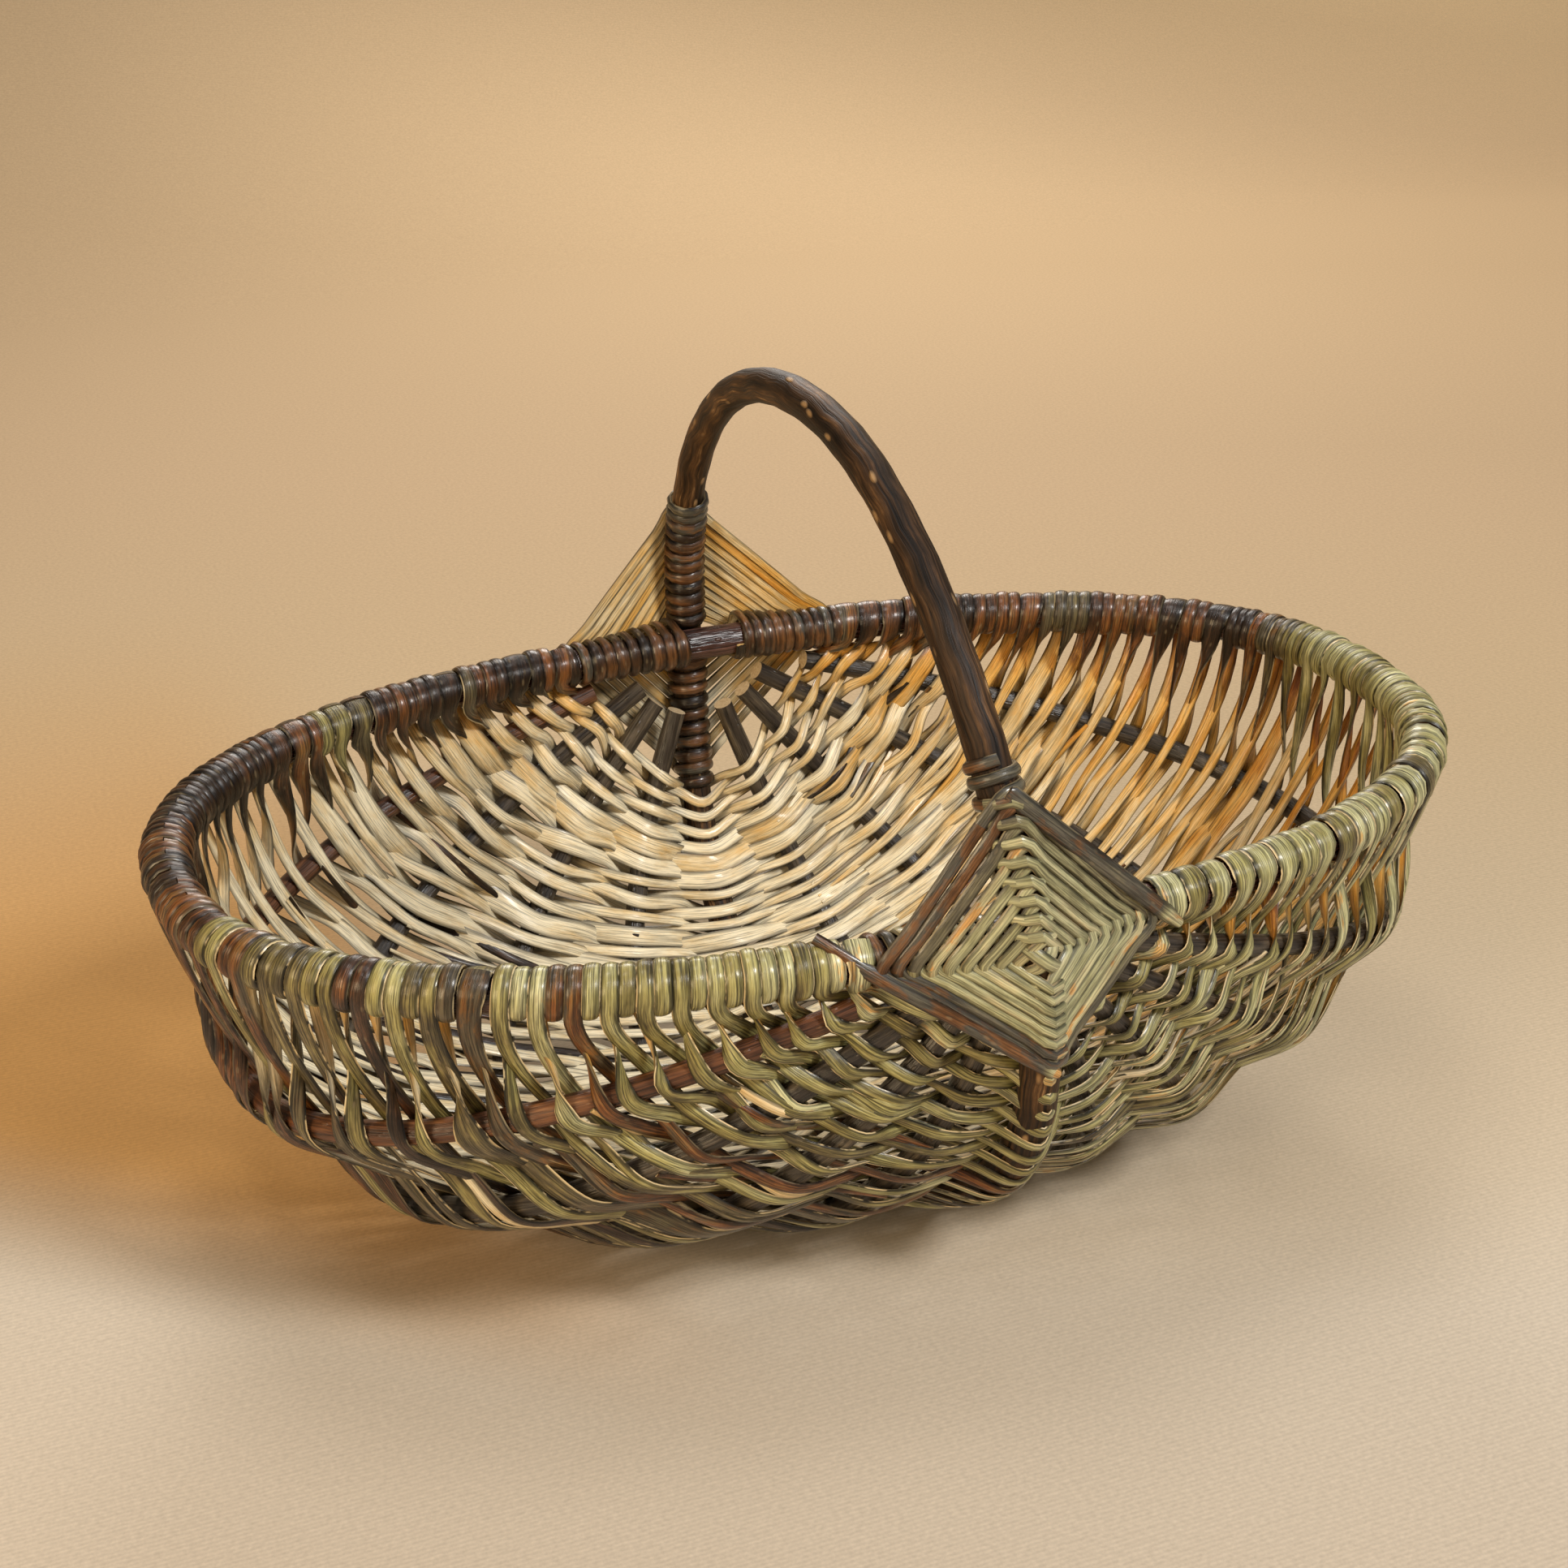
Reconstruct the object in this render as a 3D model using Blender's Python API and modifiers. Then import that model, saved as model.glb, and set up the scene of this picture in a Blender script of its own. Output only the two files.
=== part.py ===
# Mushroom foraging basket: an oval rib basket of willow, in metres, +Z up.
# The basket stands on z = 0 with its long axis along X and its middle over the origin.
# A rim hoop and a taller handle hoop cross at the front and the back. A four-armed diamond
# lashing binds each crossing, eight ribs run from one lashing to the other, and split strips
# are woven over and under the ribs and the keel, turning round the rim at each side. The
# front crossing is bound a little to the right of the back one, and its hoop leans.

import math

import bmesh
import bpy
from mathutils import Vector

for leftover in list(bpy.data.objects):
    bpy.data.objects.remove(leftover)

# Driving dimensions
rim_half_length = 0.270
rim_half_width = 0.150
belly_depth = 0.176
handle_rise = 0.160
handle_lean = 0.010
keel_lift = 0.007
skew_shift = 0.010
skew_height = 0.100
skew_spread = 0.160

rod_radius = 0.0075
rib_radius = 0.005
rib_tip_radius = 0.003

strip_thickness = 0.0024
strip_width = 0.0078
wrap_width = 0.0088
lashing_thickness = 0.0022

first_row = 0.072
lashing_start = 0.0165
lashing_reach = 0.0555
rim_rib_start = 0.060
rib_start = 0.044

gap = 0.0003
wrap_gap = 0.0006
press_depth = 0.0015
bend_reach = 0.1

# Curvature of the hoops and the hull, as superellipse exponents
rim_exponent = 2.3
hull_exponent = 2.45
handle_exponent = 2.1

# Counts
rows_per_half = 16
rim_steps = 18
handle_steps = 12
rib_steps = 9
curve_samples = 240
turn_steps = 6
wrap_steps = 16
first_wrap_steps = 4
end_wrap_steps = 5
lashing_rounds = 5

# The ribs' places: shares of the hull's half length and depth where each crosses mid-basket
rib_side_shares = (0.945, 0.775, 0.500, 0.235)

# Strip half-length laid flat over a member, as a share of that member's radius
hug_share = 0.9
diagonal_fill_share = 0.93
wrap_pitch_share = 0.6

# Lean of the handle hoop at the front crossing, sideways for each length down
skew_lean_share = 0.155


def linear(value):
    return math.pow(value, 2.2)


def make_material(name, colour, roughness):
    material = bpy.data.materials.new(name)
    material.use_nodes = True
    shader = material.node_tree.nodes["Principled BSDF"]
    shader.inputs["Base Color"].default_value = (*[linear(part) for part in colour], 1)
    shader.inputs["Roughness"].default_value = roughness
    shader.inputs["Metallic"].default_value = 0
    material.diffuse_color = (*colour, 1)
    return material


# Hull shape

def section_depth(side_share):
    return math.pow(1 - math.pow(side_share, hull_exponent), 1 / hull_exponent)


def quarter_curve(half_width, side, height, exponent):
    # From the front crossing, where y is -half_width, to mid-basket, where y is 0.
    points = []
    for index in range(curve_samples + 1):
        angle = math.pi / 2 * index / curve_samples
        along = math.pow(max(math.cos(angle), 0), 2 / exponent)
        out = math.pow(math.sin(angle), 2 / exponent)
        points.append(Vector((side * out, -half_width * along, height * out)))
    return points


def path_lengths(points):
    lengths = [0]
    for before, after in zip(points, points[1:]):
        lengths.append(lengths[-1] + (after - before).length)
    return lengths


def point_at(points, lengths, distance):
    index = 0
    while index < len(points) - 2 and lengths[index + 1] < distance:
        index += 1
    span = lengths[index + 1] - lengths[index]
    share = (distance - lengths[index]) / span
    return points[index].lerp(points[index + 1], share), (points[index + 1] - points[index]) / span


def mirrored(point):
    return Vector((point.x, -point.y, point.z))


def bend_measure(points):
    # Length along the curve plus a share for how far it has turned, so that facets are
    # short where the rod bends and long where it runs straight.
    measure = [0]
    for index in range(1, len(points)):
        step = points[index] - points[index - 1]
        turned = 0
        if index > 1:
            turned = step.angle(points[index - 1] - points[index - 2])
        measure.append(measure[-1] + step.length + bend_reach * turned)
    return measure


def make_member(points, start, steps, tip_radius, middle_radius):
    # A rod's straight facets, as its solid has them, from the front crossing to the back one.
    lengths = path_lengths(points)
    measure = bend_measure(points)
    first = measure[0]
    if start > 0:
        index = next(number for number, length in enumerate(lengths) if length > start)
        first = measure[index]
    stops = [first + (measure[-1] - first) * index / steps for index in range(steps + 1)]
    facets = [point_at(points, measure, stop)[0] for stop in stops]
    middle = start + path_lengths(facets)[-1]
    facets += [mirrored(point) for point in reversed(facets[:-1])]
    facet_lengths = [start + length for length in path_lengths(facets)]
    return {"facets": facets, "lengths": facet_lengths, "start": start, "length": middle,
            "tip": tip_radius, "middle": middle_radius}


def member_radius(member, distance):
    run = member["length"] - member["start"]
    from_tip = run - abs(distance - member["length"])
    return member["tip"] + (member["middle"] - member["tip"]) * math.sqrt(max(from_tip / run, 0))


def member_place(member, distance, half, width):
    # Seat for a strip of this width: place, direction towards mid-basket and rod radius.
    # Half is -1 in front and 1 behind.
    before = point_at(member["facets"], member["lengths"], distance - width / 2)[0]
    after = point_at(member["facets"], member["lengths"], distance + width / 2)[0]
    middle = point_at(member["facets"], member["lengths"], distance)[0]
    point = middle.lerp(before.lerp(after, 0.5), 0.5)
    tangent = after - before
    if half > 0:
        point = mirrored(point)
        tangent = mirrored(tangent)
    return point, tangent.normalized(), member_radius(member, distance)


handle_half_width = rim_half_width + 2 * rod_radius + gap
keel_depth = belly_depth - keel_lift
lowest_rib_depth = belly_depth * section_depth(rib_side_shares[-1])
rim_height = lowest_rib_depth + rib_radius + gap + strip_thickness - press_depth


def build_members():
    members = {}
    for name, side in (("left", -1), ("right", 1)):
        curve = quarter_curve(rim_half_width, side * rim_half_length, 0, rim_exponent)
        members["rim_" + name] = make_member(curve, 0, rim_steps, rod_radius, rod_radius)
        for number, share in enumerate(rib_side_shares, start=1):
            start = rim_rib_start if number == 1 else rib_start
            drop = -belly_depth * section_depth(share)
            curve = quarter_curve(rim_half_width, side * rim_half_length * share, drop, hull_exponent)
            rib = make_member(curve, start, rib_steps, rib_tip_radius, rib_radius)
            members["rib_" + name + "_" + str(number)] = rib
    keel = quarter_curve(handle_half_width, 0, -keel_depth, hull_exponent)
    members["keel"] = make_member(keel, 0, handle_steps, rod_radius, rod_radius)
    arch = quarter_curve(handle_half_width, 0, handle_rise, handle_exponent)
    leaned = [point - Vector((handle_lean * point.z / handle_rise, 0, 0)) for point in arch]
    members["arch"] = make_member(leaned, 0, handle_steps, rod_radius, rod_radius)
    lift = Vector((0, 0, rim_height))
    for member in members.values():
        member["facets"] = [point + lift for point in member["facets"]]
    return members


members = build_members()
weave_order = (["rim_left"] + ["rib_left_" + str(number) for number in (1, 2, 3, 4)] + ["keel"]
               + ["rib_right_" + str(number) for number in (4, 3, 2, 1)] + ["rim_right"])


# Objects

def add_object(name, mesh, material, group):
    mesh.materials.clear()
    mesh.materials.append(material)
    created = bpy.data.objects.new(name, mesh)
    group.objects.link(created)
    return created


def evaluated_mesh(source):
    bpy.context.view_layer.update()
    graph = bpy.context.evaluated_depsgraph_get()
    mesh = bpy.data.meshes.new_from_object(source.evaluated_get(graph))
    bpy.data.objects.remove(source)
    return mesh


def skew_mesh(mesh):
    # Hand bending: the front crossing and all that is bound or woven near it lie to the right,
    # more so lower down, fading towards mid-basket and both ends.
    for vertex in mesh.vertices:
        place = vertex.co
        forward = min(max(-place.y / handle_half_width, 0), 1)
        in_front = forward * forward * (3 - 2 * forward)
        near_hoop = math.exp(-math.pow(place.x / skew_spread, 2))
        lean = skew_lean_share * skew_height * math.tanh((rim_height - place.z) / skew_height)
        place.x += in_front * near_hoop * (skew_shift + lean)


def add_rod(name, points, radii, closed, resolution, material, group):
    curve = bpy.data.curves.new(name, "CURVE")
    curve.dimensions = "3D"
    curve.bevel_depth = max(radii)
    curve.bevel_resolution = resolution
    curve.use_fill_caps = not closed
    spline = curve.splines.new("POLY")
    spline.points.add(len(points) - 1)
    for target, point, radius in zip(spline.points, points, radii):
        target.co = (*point, 1)
        target.radius = radius / max(radii)
    spline.use_cyclic_u = closed
    rod = add_object(name + "_guide", curve, material, group)
    mesh = evaluated_mesh(rod)
    welded = bmesh.new()
    welded.from_mesh(mesh)
    bmesh.ops.remove_doubles(welded, verts=welded.verts, dist=gap / 10)
    bmesh.ops.recalc_face_normals(welded, faces=welded.faces)
    welded.to_mesh(mesh)
    welded.free()
    skew_mesh(mesh)
    mesh.shade_smooth()
    mesh.set_sharp_from_angle(angle=math.radians(50))
    return add_object(name, mesh, material, group)


def station(point, across, width):
    return {"point": point, "across": across, "width": width}


def add_strip(name, stations, thickness, material, group):
    # A flat strip: one edge carried along the stations, then given its thickness.
    ribbon = bmesh.new()
    points = [stop["point"] for stop in stations]
    edge = None
    for index, stop in enumerate(stations):
        before = points[max(index - 1, 0)]
        after = points[min(index + 1, len(points) - 1)]
        arriving = (stop["point"] - before).normalized()
        leaving = (after - stop["point"]).normalized()
        forward = (arriving + leaving).normalized()
        across = (stop["across"] - forward * stop["across"].dot(forward)).normalized()
        half_across = across * stop["width"] / 2
        if edge is None:
            first = ribbon.verts.new(stop["point"] - half_across)
            second = ribbon.verts.new(stop["point"] + half_across)
            edge = ribbon.edges.new((first, second))
            continue
        grown = bmesh.ops.extrude_edge_only(ribbon, edges=[edge])["geom"]
        edge = [part for part in grown if isinstance(part, bmesh.types.BMEdge)][0]
        first, second = edge.verts
        if (second.co - first.co).dot(half_across) < 0:
            first, second = second, first
        first.co = stop["point"] - half_across
        second.co = stop["point"] + half_across
    mesh = bpy.data.meshes.new(name)
    bmesh.ops.recalc_face_normals(ribbon, faces=ribbon.faces)
    ribbon.to_mesh(mesh)
    ribbon.free()
    strip = add_object(name + "_guide", mesh, material, group)
    solid = strip.modifiers.new("Thickness", "SOLIDIFY")
    solid.thickness = thickness
    solid.offset = 0
    solid.use_quality_normals = True
    mesh = evaluated_mesh(strip)
    # The lowest crossings are pressed flat where the basket stands.
    for vertex in mesh.vertices:
        vertex.co.z = max(vertex.co.z, 0)
    skew_mesh(mesh)
    return add_object(name, mesh, material, group)


# Weaving

def row_distance(name, row):
    if name.startswith("rim"):
        return first_row + rim_pitch * row
    return first_row + (members[name]["length"] - first_row) * row / (rows_per_half - 0.5)


wrap_turns = wrap_steps / turn_steps
wrap_shift_share = (wrap_turns * wrap_pitch_share - 1) / 2
rim_run = members["rim_left"]["length"] - first_row - wrap_width / 2 - gap
rim_pitch = rim_run / (rows_per_half - 1 + wrap_shift_share)
rim_wrap_level = rod_radius + wrap_gap + strip_thickness / 2
rim_wrap_radius = rim_wrap_level / math.cos(math.pi / turn_steps)
rim_exit_drop = rod_radius + strip_thickness / 4


def rim_frame(name, distance, half):
    point, tangent, radius = member_place(members[name], distance, half, wrap_width)
    up = Vector((0, 0, 1))
    outward = tangent.cross(up).normalized()
    if outward.dot(point - Vector((0, 0, point.z))) < 0:
        outward = -outward
    return point, tangent, outward, up


def rim_wrap(name, half, row, outer, first_step, last_step):
    # The strip comes up one side of the rim at this row, turns round it and leaves on the
    # other side at the next row, so that the rim is covered all along.
    stations = []
    start_distance = row_distance(name, row) - wrap_shift_share * rim_pitch
    for step in range(first_step, last_step + 1):
        distance = start_distance + rim_pitch * wrap_pitch_share * step / turn_steps
        point, tangent, outward, up = rim_frame(name, distance, half)
        turn = 2 * math.pi * step / turn_steps
        angle = turn - math.pi / 6 if outer else math.pi * 7 / 6 - turn
        reach = rim_wrap_radius * (outward * math.cos(angle) + up * math.sin(angle))
        if step in (0, wrap_steps):
            # It arrives and leaves straight down the rim's side, clear of the next turn.
            reach = math.copysign(rim_wrap_level, math.cos(angle)) * outward - up * rim_exit_drop
        near_weave = step < 2 or step > wrap_steps - 2
        stations.append(station(point + reach, tangent, strip_width if near_weave else wrap_width))
    return stations


def weave_pass(half, row, outer):
    # One row from the left rim to the right one, over and under each member in turn.
    places = []
    for name in weave_order:
        places.append(member_place(members[name], row_distance(name, row), half, strip_width))
    stations = []
    for index in range(1, len(weave_order) - 1):
        point, tangent, radius = places[index]
        travel = places[index + 1][0] - places[index - 1][0]
        travel = (travel - tangent * travel.dot(tangent)).normalized()
        outward = travel.cross(tangent)
        if outward.dot(Vector((point.x, 0, point.z - rim_height))) < 0:
            outward = -outward
        level = radius + gap + strip_thickness / 2
        if (index % 2 == 0) != outer:
            level = -level
        for end in (-1, 1):
            place = point + travel * end * hug_share * radius + outward * level
            stations.append(station(place, tangent, strip_width))
    return stations


def weaver_stations(half, number):
    # A weaver makes two rows: to the right, round the right rim, and back to the left one.
    row = 2 * number
    outer = half < 0
    start_step = wrap_steps - first_wrap_steps if number == 0 else end_wrap_steps + 1
    stations = rim_wrap("rim_left", half, row - 1, not outer, start_step, wrap_steps)
    stations += weave_pass(half, row, outer)
    stations += rim_wrap("rim_right", half, row, outer, 0, wrap_steps)
    stations += reversed(weave_pass(half, row + 1, not outer))
    stations += rim_wrap("rim_left", half, row + 1, not outer, 0, end_wrap_steps)
    return stations


# Diamond lashings

lashing_pitch = (lashing_reach - lashing_start) / (lashing_rounds + 0.25)
lashing_width = lashing_pitch / 2 - 2 * gap
rim_lift = lashing_thickness + 2 * gap
handle_lift = rim_lift + lashing_thickness / 2
lashing_lift = {"rim_right": rim_lift, "rim_left": rim_lift, "arch": handle_lift, "keel": handle_lift}


def lashing_frame(name, distance, half):
    point, tangent, radius = member_place(members[name], distance, half, lashing_width)
    outward = Vector((0, half, 0))
    outward = (outward - tangent * outward.dot(tangent)).normalized()
    return point, tangent, outward


def lashing_stations(half):
    # Each round crosses the front of an arm, goes once behind it, crosses it again just
    # outside the first crossing, and runs on slanting to the next arm. It comes and goes over
    # the sides of the round before, highest on the handle hoop, which stands proud.
    arms = ["rim_right", "arch", "rim_left", "keel"]
    quarter_turns = lashing_rounds * len(arms)
    diagonal_width = lashing_pitch * math.sqrt(0.5) * diagonal_fill_share
    wrap_radius = (rod_radius + gap + lashing_thickness / 2) / math.cos(math.pi / turn_steps)
    stations = []
    for quarter in range(quarter_turns):
        name = arms[quarter % len(arms)]
        onward = arms[(quarter + 1) % len(arms)]
        middle = lashing_start + lashing_pitch * quarter / len(arms)
        onward_tangent = lashing_frame(onward, middle, half)[1]
        for step in range(turn_steps + 2):
            shift = lashing_pitch / 2 * (step - (turn_steps + 1) / 2) / turn_steps
            point, tangent, outward = lashing_frame(name, middle + shift, half)
            sideways = tangent.cross(outward)
            if sideways.dot(onward_tangent) < 0:
                sideways = -sideways
            angle = 2 * math.pi * step / turn_steps - math.pi / 6
            reach = wrap_radius * (outward * math.cos(angle) + sideways * math.sin(angle))
            if step == turn_steps + 1 or (step == 0 and quarter >= len(arms)):
                reach += outward * lashing_lift[name]
            stations.append(station(point + reach, tangent, lashing_width))
        if quarter == quarter_turns - 1:
            break
        next_middle = middle + lashing_pitch / len(arms)
        near, tangent, outward = lashing_frame(onward, next_middle - lashing_pitch / 4, half)
        leaving = stations[-1]["point"]
        sideways = tangent.cross(outward)
        if sideways.dot(leaving - near) < 0:
            sideways = -sideways
        slant = math.pi / 6
        reach = wrap_radius * (outward * math.cos(slant) + sideways * math.sin(slant))
        if quarter + 1 >= len(arms):
            reach += outward * lashing_lift[onward]
        bowed = leaving.lerp(near + reach, 0.5) + outward * lashing_thickness
        across = stations[-1]["across"] + tangent
        stations.append(station(bowed, across, diagonal_width))
    return stations


def build_basket():
    group = bpy.data.collections.new("mushroom_foraging_basket")
    bpy.context.scene.collection.children.link(group)
    bark = make_material("dark_bark", (0.24, 0.20, 0.17), 0.55)
    peeled = make_material("rib_bark", (0.36, 0.29, 0.21), 0.6)
    olive = make_material("olive_strip", (0.47, 0.43, 0.28), 0.5)
    straw = make_material("straw_strip", (0.72, 0.62, 0.42), 0.55)
    lashing = make_material("lashing_strip", (0.52, 0.44, 0.28), 0.5)

    right = members["rim_right"]["facets"]
    left = members["rim_left"]["facets"]
    loop = right[:-1] + list(reversed(left[1:]))
    add_rod("rim_hoop", loop, [rod_radius] * len(loop), True, 2, bark, group)

    arch = members["arch"]["facets"]
    keel = members["keel"]["facets"]
    loop = arch[:-1] + list(reversed(keel[1:]))
    add_rod("handle_hoop", loop, [rod_radius] * len(loop), True, 2, bark, group)

    for name, rib in members.items():
        if name.startswith("rib"):
            radii = [member_radius(rib, length) for length in rib["lengths"]]
            add_rod(name, rib["facets"], radii, False, 1, peeled, group)

    for half, place in ((-1, "front"), (1, "back")):
        add_strip("gods_eye_" + place, lashing_stations(half), lashing_thickness, lashing, group)
        for number in range(rows_per_half // 2):
            name = "weaver_" + place + "_" + str(number + 1)
            colour = olive if number % 2 else straw
            add_strip(name, weaver_stations(half, number), strip_thickness, colour, group)


build_basket()
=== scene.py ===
# Willow rib basket: woven splits, lapped rim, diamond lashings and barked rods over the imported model
import math
import random

import bmesh
import bpy
import numpy as np
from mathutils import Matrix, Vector


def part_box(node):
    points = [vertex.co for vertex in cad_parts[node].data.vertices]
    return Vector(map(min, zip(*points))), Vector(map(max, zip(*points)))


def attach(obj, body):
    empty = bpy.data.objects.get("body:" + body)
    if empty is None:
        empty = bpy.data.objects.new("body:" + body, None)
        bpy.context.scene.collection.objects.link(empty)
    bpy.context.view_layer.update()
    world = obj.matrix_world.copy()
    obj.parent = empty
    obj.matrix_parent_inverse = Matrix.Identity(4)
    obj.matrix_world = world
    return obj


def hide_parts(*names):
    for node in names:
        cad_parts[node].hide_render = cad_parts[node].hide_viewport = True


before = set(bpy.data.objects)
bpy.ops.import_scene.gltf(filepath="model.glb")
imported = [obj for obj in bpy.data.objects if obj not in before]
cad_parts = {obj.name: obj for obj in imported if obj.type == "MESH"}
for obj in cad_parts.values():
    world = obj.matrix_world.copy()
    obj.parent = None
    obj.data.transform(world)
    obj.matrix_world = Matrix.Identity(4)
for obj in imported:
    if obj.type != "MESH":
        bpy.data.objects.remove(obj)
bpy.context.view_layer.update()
luck = random.Random(7)
print("frame loaded:", len(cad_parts), "nodes")

# the two hoops and the hull; the rim height is taken from the imported model
rimLow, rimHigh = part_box("rim_hoop")
basket = {
    "halfLength": 0.270,
    "halfWidth": 0.150,
    "depth": 0.176,
    "rimZ": (rimLow.z + rimHigh.z) / 2,
    "handleRise": 0.160,
    "handleLean": 0.010,
    "keelLift": 0.007,
    "hoopRadius": 0.0075,
    "rimPower": 2.3,
    "hullPower": 2.45,
    "handlePower": 2.1,
    "ribShares": (0.945, 0.775, 0.500, 0.235),
}
hoopHalfWidth = basket["halfWidth"] + 2 * basket["hoopRadius"] + 0.0003
up = Vector((0, 0, 1))

# hand bending: the front crossing lies right of the back one, more so lower down
bend = {"shift": 0.010, "height": 0.100, "spread": 0.160, "lean": 0.155}


def bendFront(spots):
    forward = np.clip(-spots[..., 1] / hoopHalfWidth, 0, 1)
    nearHoop = np.exp(-(spots[..., 0] / bend["spread"]) ** 2)
    lean = bend["lean"] * bend["height"] * np.tanh((basket["rimZ"] - spots[..., 2]) / bend["height"])
    spots[..., 0] += forward ** 2 * (3 - 2 * forward) * nearHoop * (bend["shift"] + lean)
    return spots


# paths of the rods, front crossing to back crossing

def halfCurve(halfWidth, side, height, power):
    angle = np.linspace(0, math.pi / 2, 241)
    along = np.cos(angle).clip(0) ** (2 / power)
    out = np.sin(angle) ** (2 / power)
    front = np.stack([side * out, -halfWidth * along, height * out], 1)
    back = front[-2::-1] * (1, -1, 1)
    return np.vstack([front, back])


def makePath(points):
    steps = np.linalg.norm(np.diff(points, axis=0), axis=1)
    lengths = np.concatenate([[0], np.cumsum(steps)])
    return {"points": points, "lengths": lengths, "half": lengths[-1] / 2}


def along(path, distance):
    return Vector([np.interp(distance, path["lengths"], path["points"][:, axis]) for axis in range(3)])


def seat(path, distance, half):
    # place and direction towards mid-basket; half is -1 in front and 1 behind
    place = distance if half < 0 else 2 * path["half"] - distance
    reach = 0.003
    run = along(path, place + reach) - along(path, place - reach)
    return along(path, place), (run if half < 0 else -run).normalized()


paths = {}
for sideName, side in (("Left", -1), ("Right", 1)):
    paths["rim" + sideName] = halfCurve(basket["halfWidth"], side * basket["halfLength"], 0, basket["rimPower"])
    for number, share in enumerate(basket["ribShares"], start=1):
        drop = basket["depth"] * (1 - share ** basket["hullPower"]) ** (1 / basket["hullPower"])
        wide = side * basket["halfLength"] * share
        paths["rib" + sideName + str(number)] = halfCurve(basket["halfWidth"], wide, -drop, basket["hullPower"])
paths["keel"] = halfCurve(hoopHalfWidth, 0, basket["keelLift"] - basket["depth"], basket["hullPower"])
paths["arch"] = halfCurve(hoopHalfWidth, 0, basket["handleRise"], basket["handlePower"])
paths["arch"][:, 0] -= basket["handleLean"] * paths["arch"][:, 2] / basket["handleRise"]
for name in paths:
    paths[name][:, 2] += basket["rimZ"]
    paths[name] = makePath(paths[name])
ribRods = {
    "tip": 0.0042, "middle": 0.0050, "start": 0.025, "firstStart": 0.046, "cutLength": 0.018, "sides": 14,
}


def handleRadius(y):
    # the handle rod is thicker at its front end
    return 0.99 * basket["hoopRadius"] - 0.0025 * y


def rodRadius(name, distance):
    if not name.startswith("rib"):
        return basket["hoopRadius"]
    share = math.sqrt(max(distance, 0) / paths[name]["half"])
    return ribRods["tip"] + (ribRods["middle"] - ribRods["tip"]) * share


# strips and rods are a grid rolled round a path, closed along its seam and at its ends

splitProfile = [(-0.5, 0.0), (-0.41, 0.28), (-0.22, 0.45), (0.0, 0.51), (0.22, 0.45), (0.41, 0.28), (0.5, 0.0),
                (0.39, -0.27), (0.0, -0.33), (-0.39, -0.27)]
turnedProfile = [(-x, -z) for x, z in splitProfile]
splitBarkColumns = 6


def roundProfile(sides):
    return [(0.5 * math.cos(2 * math.pi * index / sides), 0.5 * math.sin(2 * math.pi * index / sides))
            for index in range(sides)]


def sampleStops(stops, step, most):
    # smooth curve through the stops: places, outward normals, widths and thicknesses
    table = np.array([(*stop[0], *stop[1], stop[2], stop[3]) for stop in stops])
    place = table[:, :3]
    chord = np.concatenate([[0], np.cumsum(np.linalg.norm(np.diff(place, axis=0), axis=1) + 1e-7)])
    slope = np.gradient(place, chord, axis=0)
    samples = []
    for index in range(len(stops) - 1):
        span = chord[index + 1] - chord[index]
        count = max(1, min(most, round(span / step)))
        share = (np.arange(count) / count)[:, None]
        start, end = place[index], place[index + 1]
        leave, arrive = slope[index] * span, slope[index + 1] * span
        curve = ((2 * share ** 3 - 3 * share ** 2 + 1) * start + (share ** 3 - 2 * share ** 2 + share) * leave
                 + (3 * share ** 2 - 2 * share ** 3) * end + (share ** 3 - share ** 2) * arrive)
        rest = table[index, 3:] + (table[index + 1, 3:] - table[index, 3:]) * share
        samples.append(np.hstack([curve, rest]))
    samples.append(table[-1:])
    return np.vstack(samples)


def unit(vectors):
    return vectors / np.linalg.norm(vectors, axis=1, keepdims=True).clip(1e-9)


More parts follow.
